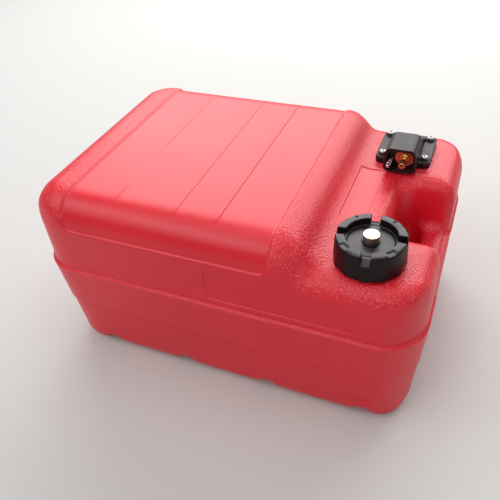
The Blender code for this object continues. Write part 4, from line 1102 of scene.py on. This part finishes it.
screwForm = {
    "headRadius": 4.6 * mm, "headHeight": 2.4 * mm, "headSideShare": 0.35, "headEase": 0.25 * mm,
    "headFootEase": 0.2 * mm, "crownSteps": 7, "crownPower": 0.55,
    "threadRadius": 2.4 * mm, "tipReach": 0.5 * mm, "tipLength": 0.6 * mm,
    "recessWidth": 1.3 * mm, "recessLength": 5.2 * mm, "recessDepth": 1.6 * mm,
    "turnStep": 25.0, "colour": "#A9A8A5", "roughness": 0.3, "ringHeight": 0.003 * mm,
}


# Geometry Nodes: one screw on each point, turned a little further each time
def screwTree():
    tree = bpy.data.node_groups.new("screwSet", "GeometryNodeTree")
    face = tree.interface
    face.new_socket("Geometry", in_out="INPUT", socket_type="NodeSocketGeometry")
    for name, kind in (("Screw", "NodeSocketObject"), ("Turn step", "NodeSocketFloat"),
                       ("Metal", "NodeSocketMaterial")):
        face.new_socket(name, in_out="INPUT", socket_type=kind)
    face.new_socket("Geometry", in_out="OUTPUT", socket_type="NodeSocketGeometry")
    given = addNode(tree, "NodeGroupInput").outputs
    model = addNode(tree, "GeometryNodeObjectInfo", inputs={"Object": given["Screw"]})
    number = addNode(tree, "GeometryNodeInputIndex").outputs["Index"]
    turn = addNode(tree, "ShaderNodeMath", {"operation": "MULTIPLY"}, {0: number, 1: given["Turn step"]})
    angles = addNode(tree, "ShaderNodeCombineXYZ", inputs={"Z": turn.outputs["Value"]})
    spread = addNode(tree, "GeometryNodeInstanceOnPoints", inputs={
        "Points": given["Geometry"], "Instance": model.outputs["Geometry"],
        "Rotation": angles.outputs["Vector"]})
    real = addNode(tree, "GeometryNodeRealizeInstances", inputs={"Geometry": spread.outputs["Instances"]})
    painted = addNode(tree, "GeometryNodeSetMaterial", inputs={
        "Geometry": real.outputs["Geometry"], "Material": given["Metal"]})
    addNode(tree, "NodeGroupOutput", inputs={"Geometry": painted.outputs["Geometry"]})
    return tree


# Sets the tree's named inputs and makes what it builds a plain mesh
def runTree(piece, tree, values):
    change = piece.modifiers.new("build", "NODES")
    change.node_group = tree
    for item in tree.interface.items_tree:
        if item.item_type == "SOCKET" and item.in_out == "INPUT" and item.name in values:
            change[item.identifier] = values[item.name]
    return freeze(piece)


# One pan-head screw with a crossed recess. Its head stands on Z = 0
def screwModel(shank):
    form = screwForm
    head, rise, thread = form["headRadius"], form["headHeight"], form["threadRadius"]
    side = form["headSideShare"]
    profile = [(0, -shank), (thread - form["tipReach"], -shank), (thread, form["tipLength"] - shank),
               (thread, 0), (head - form["headFootEase"], 0), (head, form["headEase"]), (head, side * rise)]
    count = form["crownSteps"]
    for step in range(1, count + 1):
        turn = math.pi / 2 * step / count
        radius = head * math.cos(turn) ** form["crownPower"] if step < count else 0
        profile.append((radius, side * rise + (1 - side) * rise * math.sin(turn)))
    screw = lathe("screwModel", profile, steps=48)
    halfLong, halfWide, depth = form["recessLength"] / 2, form["recessWidth"] / 2, form["recessDepth"]
    for turn in (0, math.pi / 2):
        arm = block("arm", (-halfLong, -halfWide, rise - depth), (halfLong, halfWide, rise + overrun))
        trim(screw, [spin(arm, turn)])
    return screw


def makeScrews():
    form = screwForm
    boxes = [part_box(f"fitting_screw_{number}") for number in range(1, 5)]
    length, rise = boxes[0][1].z - boxes[0][0].z, form["headHeight"]
    screw = screwModel(length - rise)
    points = bmesh.new()
    for low, high in boxes:
        points.verts.new(((low.x + high.x) / 2, (low.y + high.y) / 2, high.z - rise))
    screws = putMesh("fittingScrews", points, recalculate=False)
    # Stainless steel, cold-formed and rolled: grey and bright
    steel = turnedMetal("rolledStainless", form["colour"], form["roughness"], (0, 0, 0),
                        ringHeight=form["ringHeight"])
    turnStep = math.radians(form["turnStep"])
    runTree(screws, screwTree(), {"Screw": screw, "Turn step": turnStep, "Metal": steel})
    bpy.data.objects.remove(screw, do_unlink=True)
    shadeRound(screws, turnedAngle)
    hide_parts(*[f"fitting_screw_{number}" for number in range(1, 5)])
    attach(screws, "tank")
    print("screws made")


makeScrews()

# Connector: red disc, brass nipple with its ring, and guide pin, all pointing to -Y

discForm = {
    "hole": 5.3 * mm, "rim": 1.6 * mm, "step": 0.4 * mm, "dish": 0.5 * mm, "ease": 0.35 * mm,
    # the colour is the dye lightened by painted light, for the shade inside the hood
    "innerEase": 0.2 * mm, "colour": "#FF7258", "roughness": 0.42,
}
nippleForm = {
    "threadRadius": 5 * mm, "collarRadius": 6.5 * mm, "collarThickness": 3 * mm, "collarStep": 0.6 * mm,
    "shaftRadius": 3.3 * mm, "coneLength": 0.8 * mm, "tipRadius": 4 * mm, "tipLength": 10 * mm,
    "grooveRadius": 2.9 * mm, "grooveWidth": 2.2 * mm, "grooveSetback": 5 * mm,
    "mouthRadius": 2 * mm, "boreRadius": 2.5 * mm, "seatDepth": 4 * mm, "seatLength": 0.45 * mm,
    "springRadius": 1.2 * mm, "springDepth": 16 * mm,
    "collarBackEase": 0.4 * mm, "collarFrontEase": 0.6 * mm, "tipBackEase": 0.3 * mm,
    "grooveEase": 0.15 * mm, "tipFrontEase": 0.7 * mm, "mouthEase": 0.35 * mm,
    # the colour is brass made paler by painted light, for the shade inside the hood
    "colour": "#F2D58C", "roughness": 0.22,
}
ringForm = {"thickness": 0.9 * mm, "steps": 24, "colour": "#161616", "roughness": 0.6}
pinForm = {
    "neckRadius": 2.3 * mm, "noseRadius": 1.6 * mm, "step": 6 * mm, "neckWidth": 2 * mm, "taper": 0.5 * mm,
    "noseLength": 0.9 * mm, "ease": 0.3 * mm, "neckEase": 0.2 * mm, "noseEase": 0.5 * mm,
    "colour": "#DDDBD6", "roughness": 0.26,
}


# A turned piece points along -Y from its root
def finishTurned(piece, root, node, material):
    moveTo(piece, root, (0, -1, 0))
    shadeRound(piece, turnedAngle)
    dress(piece, material)
    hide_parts(node)
    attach(piece, "tank")


def makeDisc():
    form = discForm
    low, high, middle = nodeBox("connector_disc")
    radius, thick, hole = (high.x - low.x) / 2, high.y - low.y, form["hole"]
    rim, dish = radius - form["rim"], thick - form["dish"]
    points = [(hole, 0), (radius, 0), (radius, thick), (rim, thick), (rim - form["step"], dish), (hole, dish)]
    eases = [0, 0, form["ease"], form["innerEase"], form["innerEase"], 0]
    disc = lathe("connectorDisc", easeProfile(points, eases))
    # Nylon dyed orange-red, moulded: bright and satin. The colour is lighter than the dye: painted light,
    # standing in for light that the hood's shade keeps off the disc
    finishTurned(disc, (middle.x, high.y, middle.z), "connector_disc",
                 mouldedPlastic("nylonDiscPaintedLight", form["colour"], form["roughness"]))


def makeNipple():
    form = nippleForm
    low, high, middle = nodeBox("fuel_nipple")
    length = high.y - low.y
    collarBack = high.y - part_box("connector_disc")[0].y + gap
    collarFront = collarBack + form["collarThickness"]
    tipBack, grooveBack = length - form["tipLength"], length - form["grooveSetback"]
    grooveFront, seat = grooveBack + form["grooveWidth"], length - form["seatDepth"]
    thread, collar, shaft = form["threadRadius"], form["collarRadius"], form["shaftRadius"]
    tip, groove, mouth = form["tipRadius"], form["grooveRadius"], form["mouthRadius"]
    bore, spring = form["boreRadius"], form["springRadius"]
    cone, springDepth = form["coneLength"], form["springDepth"]
    points = [
        (spring, 0), (thread, 0), (thread, collarBack), (collar, collarBack), (collar, collarFront),
        (shaft + form["collarStep"], collarFront), (shaft, collarFront + cone), (shaft, tipBack - cone),
        (tip, tipBack), (tip, grooveBack), (groove, grooveBack), (groove, grooveFront), (tip, grooveFront),
        (tip, length), (mouth, length), (mouth, seat), (bore, seat - form["seatLength"]),
        (bore, springDepth), (spring, springDepth)]
    back, edge = form["tipBackEase"], form["grooveEase"]
    eases = [0, 0, 0, form["collarBackEase"], form["collarFrontEase"], 0, 0, back, back, edge, 0, 0, edge,
             form["tipFrontEase"], form["mouthEase"], 0, 0, 0, 0]
    # Yellow brass, turned on a lathe: bright rings and warm reflections. Its colour is paler than the brass:
    # painted light, standing in for light that the hood's shade keeps off
    brass = turnedMetal("turnedBrassPaintedLight", form["colour"], form["roughness"], (middle.x, 0, middle.z),
                        alongY=True)
    nipple = lathe("fuelNipple", easeProfile(points, eases), steps=80)
    finishTurned(nipple, (middle.x, high.y, middle.z), "fuel_nipple", brass)
    return high.y - (grooveBack + grooveFront) / 2


def makeRing(grooveY):
    form = ringForm
    low, high, middle = nodeBox("nipple_o_ring")
    half, count = form["thickness"] / 2, form["steps"]
    across = (high.x - low.x) / 2 - half
    seal = lathe("nippleRing", arcPoints((across, 0), half, 0, 360 - 360 / count, count - 1), steps=80)
    # Nitrile rubber, moulded: black and dull
    finishTurned(seal, (middle.x, grooveY, middle.z), "nipple_o_ring",
                 mouldedPlastic("nitrileRubberRing", form["colour"], form["roughness"]))


def makePin():
    form = pinForm
    low, high, middle = nodeBox("guide_pin")
    length, radius, step = high.y - low.y, (high.x - low.x) / 2, form["step"]
    neck, nose = form["neckRadius"], form["noseRadius"]
    neckBack, noseBack = length - 2 * step, length - step
    neckFront = neckBack + form["neckWidth"]
    points = [
        (0, 0), (radius, 0), (radius, neckBack), (neck, neckBack), (neck, neckFront),
        (radius, neckFront), (radius, noseBack), (neck, noseBack + form["taper"]),
        (neck, length - form["noseLength"]), (nose, length), (0, length)]
    edge, tip = form["ease"], form["noseEase"]
    eases = [0, 0, edge, 0, 0, edge, edge, form["neckEase"], tip, tip, 0]
    # Stainless steel, turned: white and bright
    steel = turnedMetal("turnedStainless", form["colour"], form["roughness"], (middle.x, 0, middle.z),
                        alongY=True)
    pin = lathe("guidePin", easeProfile(points, eases), steps=64)
    finishTurned(pin, (middle.x, high.y, middle.z), "guide_pin", steel)


makeDisc()
makeRing(makeNipple())
makePin()
print("connector made")

# The CAD pieces that stay: colour and roughness

insideLooks = {
    "rubber": ("#171717", 0.62), "polyethylene": ("#E3DED0", 0.45),
    "brass": ("#C2994A", 0.3), "steel": ("#B5B4B0", 0.28),
}


# They get the materials of the real ones: dull nitrile rubber, milky undyed polyethylene, knurled
# brass and drawn spring steel
def dressNodes():
    rubber = mouldedPlastic("nitrileRubber", *insideLooks["rubber"])
    white = mouldedPlastic("naturalPolyethylene", *insideLooks["polyethylene"])
    brass = turnedMetal("knurledBrass", *insideLooks["brass"], (0, 0, 0))
    steel = turnedMetal("springSteel", *insideLooks["steel"], (0, 0, 0))
    looks = {
        "cap_gasket": rubber, "cap_liner": white, "vent_seal": rubber, "vent_clip": steel,
        "fitting_gasket": rubber, "nipple_poppet": steel, "nipple_spring": steel,
        "pickup_tube": white, "pickup_strainer": white,
    }
    looks.update({f"screw_insert_{number}": brass for number in range(1, 5)})
    for node, material in looks.items():
        dress(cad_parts[node], material)
    print("nodes dressed:", len(looks))


dressNodes()

# Studio

studio = {
    # the camera's place and angles, and its lens and sensor in millimetres
    "place": (254.1 * mm, -557.3 * mm, 624.8 * mm), "azimuth": -24.97, "elevation": -41.28, "roll": -4.82,
    "lens": 40.02, "sensor": 36.0, "shiftX": -0.0201, "shiftY": 0.0041,
    "floorColour": "#CBCAC8", "floorRoughness": 0.8, "floorHalf": 6.0, "floorDrop": 0.2 * mm,
    "zenith": 0.26, "horizon": 0.22,
    # power in watts, width, height, azimuth and elevation
    "softboxes": {
        "back": (72.0, 3.9, 1.15, -6.0, 33.0),
        "over": (14.0, 1.8, 1.8, -60.0, 86.0),
        "front": (20.0, 2.2, 1.0, -137.0, 44.0),
        "fill": (5.4, 1.6, 0.8, 160.0, 24.0),
        "side": (5.0, 1.6, 0.8, 95.0, 30.0),
    },
    "distance": 2.2,
}


# The direction of an azimuth from +Y towards +X and an elevation, both in degrees
def direction(azimuth, elevation):
    turn, rise = math.radians(azimuth), math.radians(elevation)
    return Vector((math.sin(turn) * math.cos(rise), math.cos(turn) * math.cos(rise), math.sin(rise)))


# The picture's own angle
def makeCamera():
    form = studio
    camera = bpy.data.objects.new("camera", bpy.data.cameras.new("camera"))
    bpy.context.scene.collection.objects.link(camera)
    ahead = direction(form["azimuth"], form["elevation"])
    camera.location = form["place"]
    camera.rotation_mode = "QUATERNION"
    camera.rotation_quaternion = (ahead.to_track_quat("-Z", "Y")
                                  @ Quaternion((0, 0, 1), math.radians(form["roll"])))
    camera.data.sensor_width = form["sensor"]
    camera.data.lens = form["lens"]
    camera.data.shift_x = form["shiftX"]
    camera.data.shift_y = form["shiftY"]
    bpy.context.scene.camera = camera


# Pale matt card
def makeFloor():
    form = studio
    data = bmesh.new()
    bmesh.ops.create_grid(data, x_segments=8, y_segments=8, size=form["floorHalf"])
    bmesh.ops.translate(data, verts=data.verts[:], vec=(0, 0, -form["floorDrop"]))
    floor = putMesh("floor", data, recalculate=False)
    material, tree, shader, place = newMaterial("paleFloor")
    shader.inputs["Base Color"].default_value = linearColour(form["floorColour"])
    shader.inputs["Roughness"].default_value = form["floorRoughness"]
    dress(floor, material)


# White light from all round, a little stronger from above, and five softboxes
def makeLights():
    form = studio
    world = bpy.data.worlds.new("softLight")
    world.use_nodes = True
    bpy.context.scene.world = world
    tree = world.node_tree
    tree.nodes.clear()
    parts = addNode(tree, "ShaderNodeSeparateXYZ", inputs={
        "Vector": addNode(tree, "ShaderNodeTexCoord").outputs["Generated"]})
    level = addNode(tree, "ShaderNodeMapRange", inputs={
        "Value": parts.outputs["Z"], "From Min": 0.0, "From Max": 1.0,
        "To Min": form["horizon"], "To Max": form["zenith"]})
    glow = addNode(tree, "ShaderNodeBackground", inputs={
        "Color": (1, 1, 1, 1), "Strength": level.outputs["Result"]})
    addNode(tree, "ShaderNodeOutputWorld", inputs={"Surface": glow.outputs["Background"]})

    for name, (power, width, height, azimuth, elevation) in form["softboxes"].items():
        lamp = bpy.data.lights.new(name, "AREA")
        lamp.shape = "RECTANGLE"
        lamp.size, lamp.size_y, lamp.energy = width, height, power
        softbox = bpy.data.objects.new(name, lamp)
        bpy.context.scene.collection.objects.link(softbox)
        way = direction(azimuth, elevation)
        softbox.location = Vector((0, 0, tankTop)) + way * form["distance"]
        softbox.rotation_mode = "QUATERNION"
        softbox.rotation_quaternion = (-way).to_track_quat("-Z", "Y")
    bpy.context.scene.view_settings.view_transform = "Standard"


makeCamera()
makeFloor()
makeLights()
print("studio made")
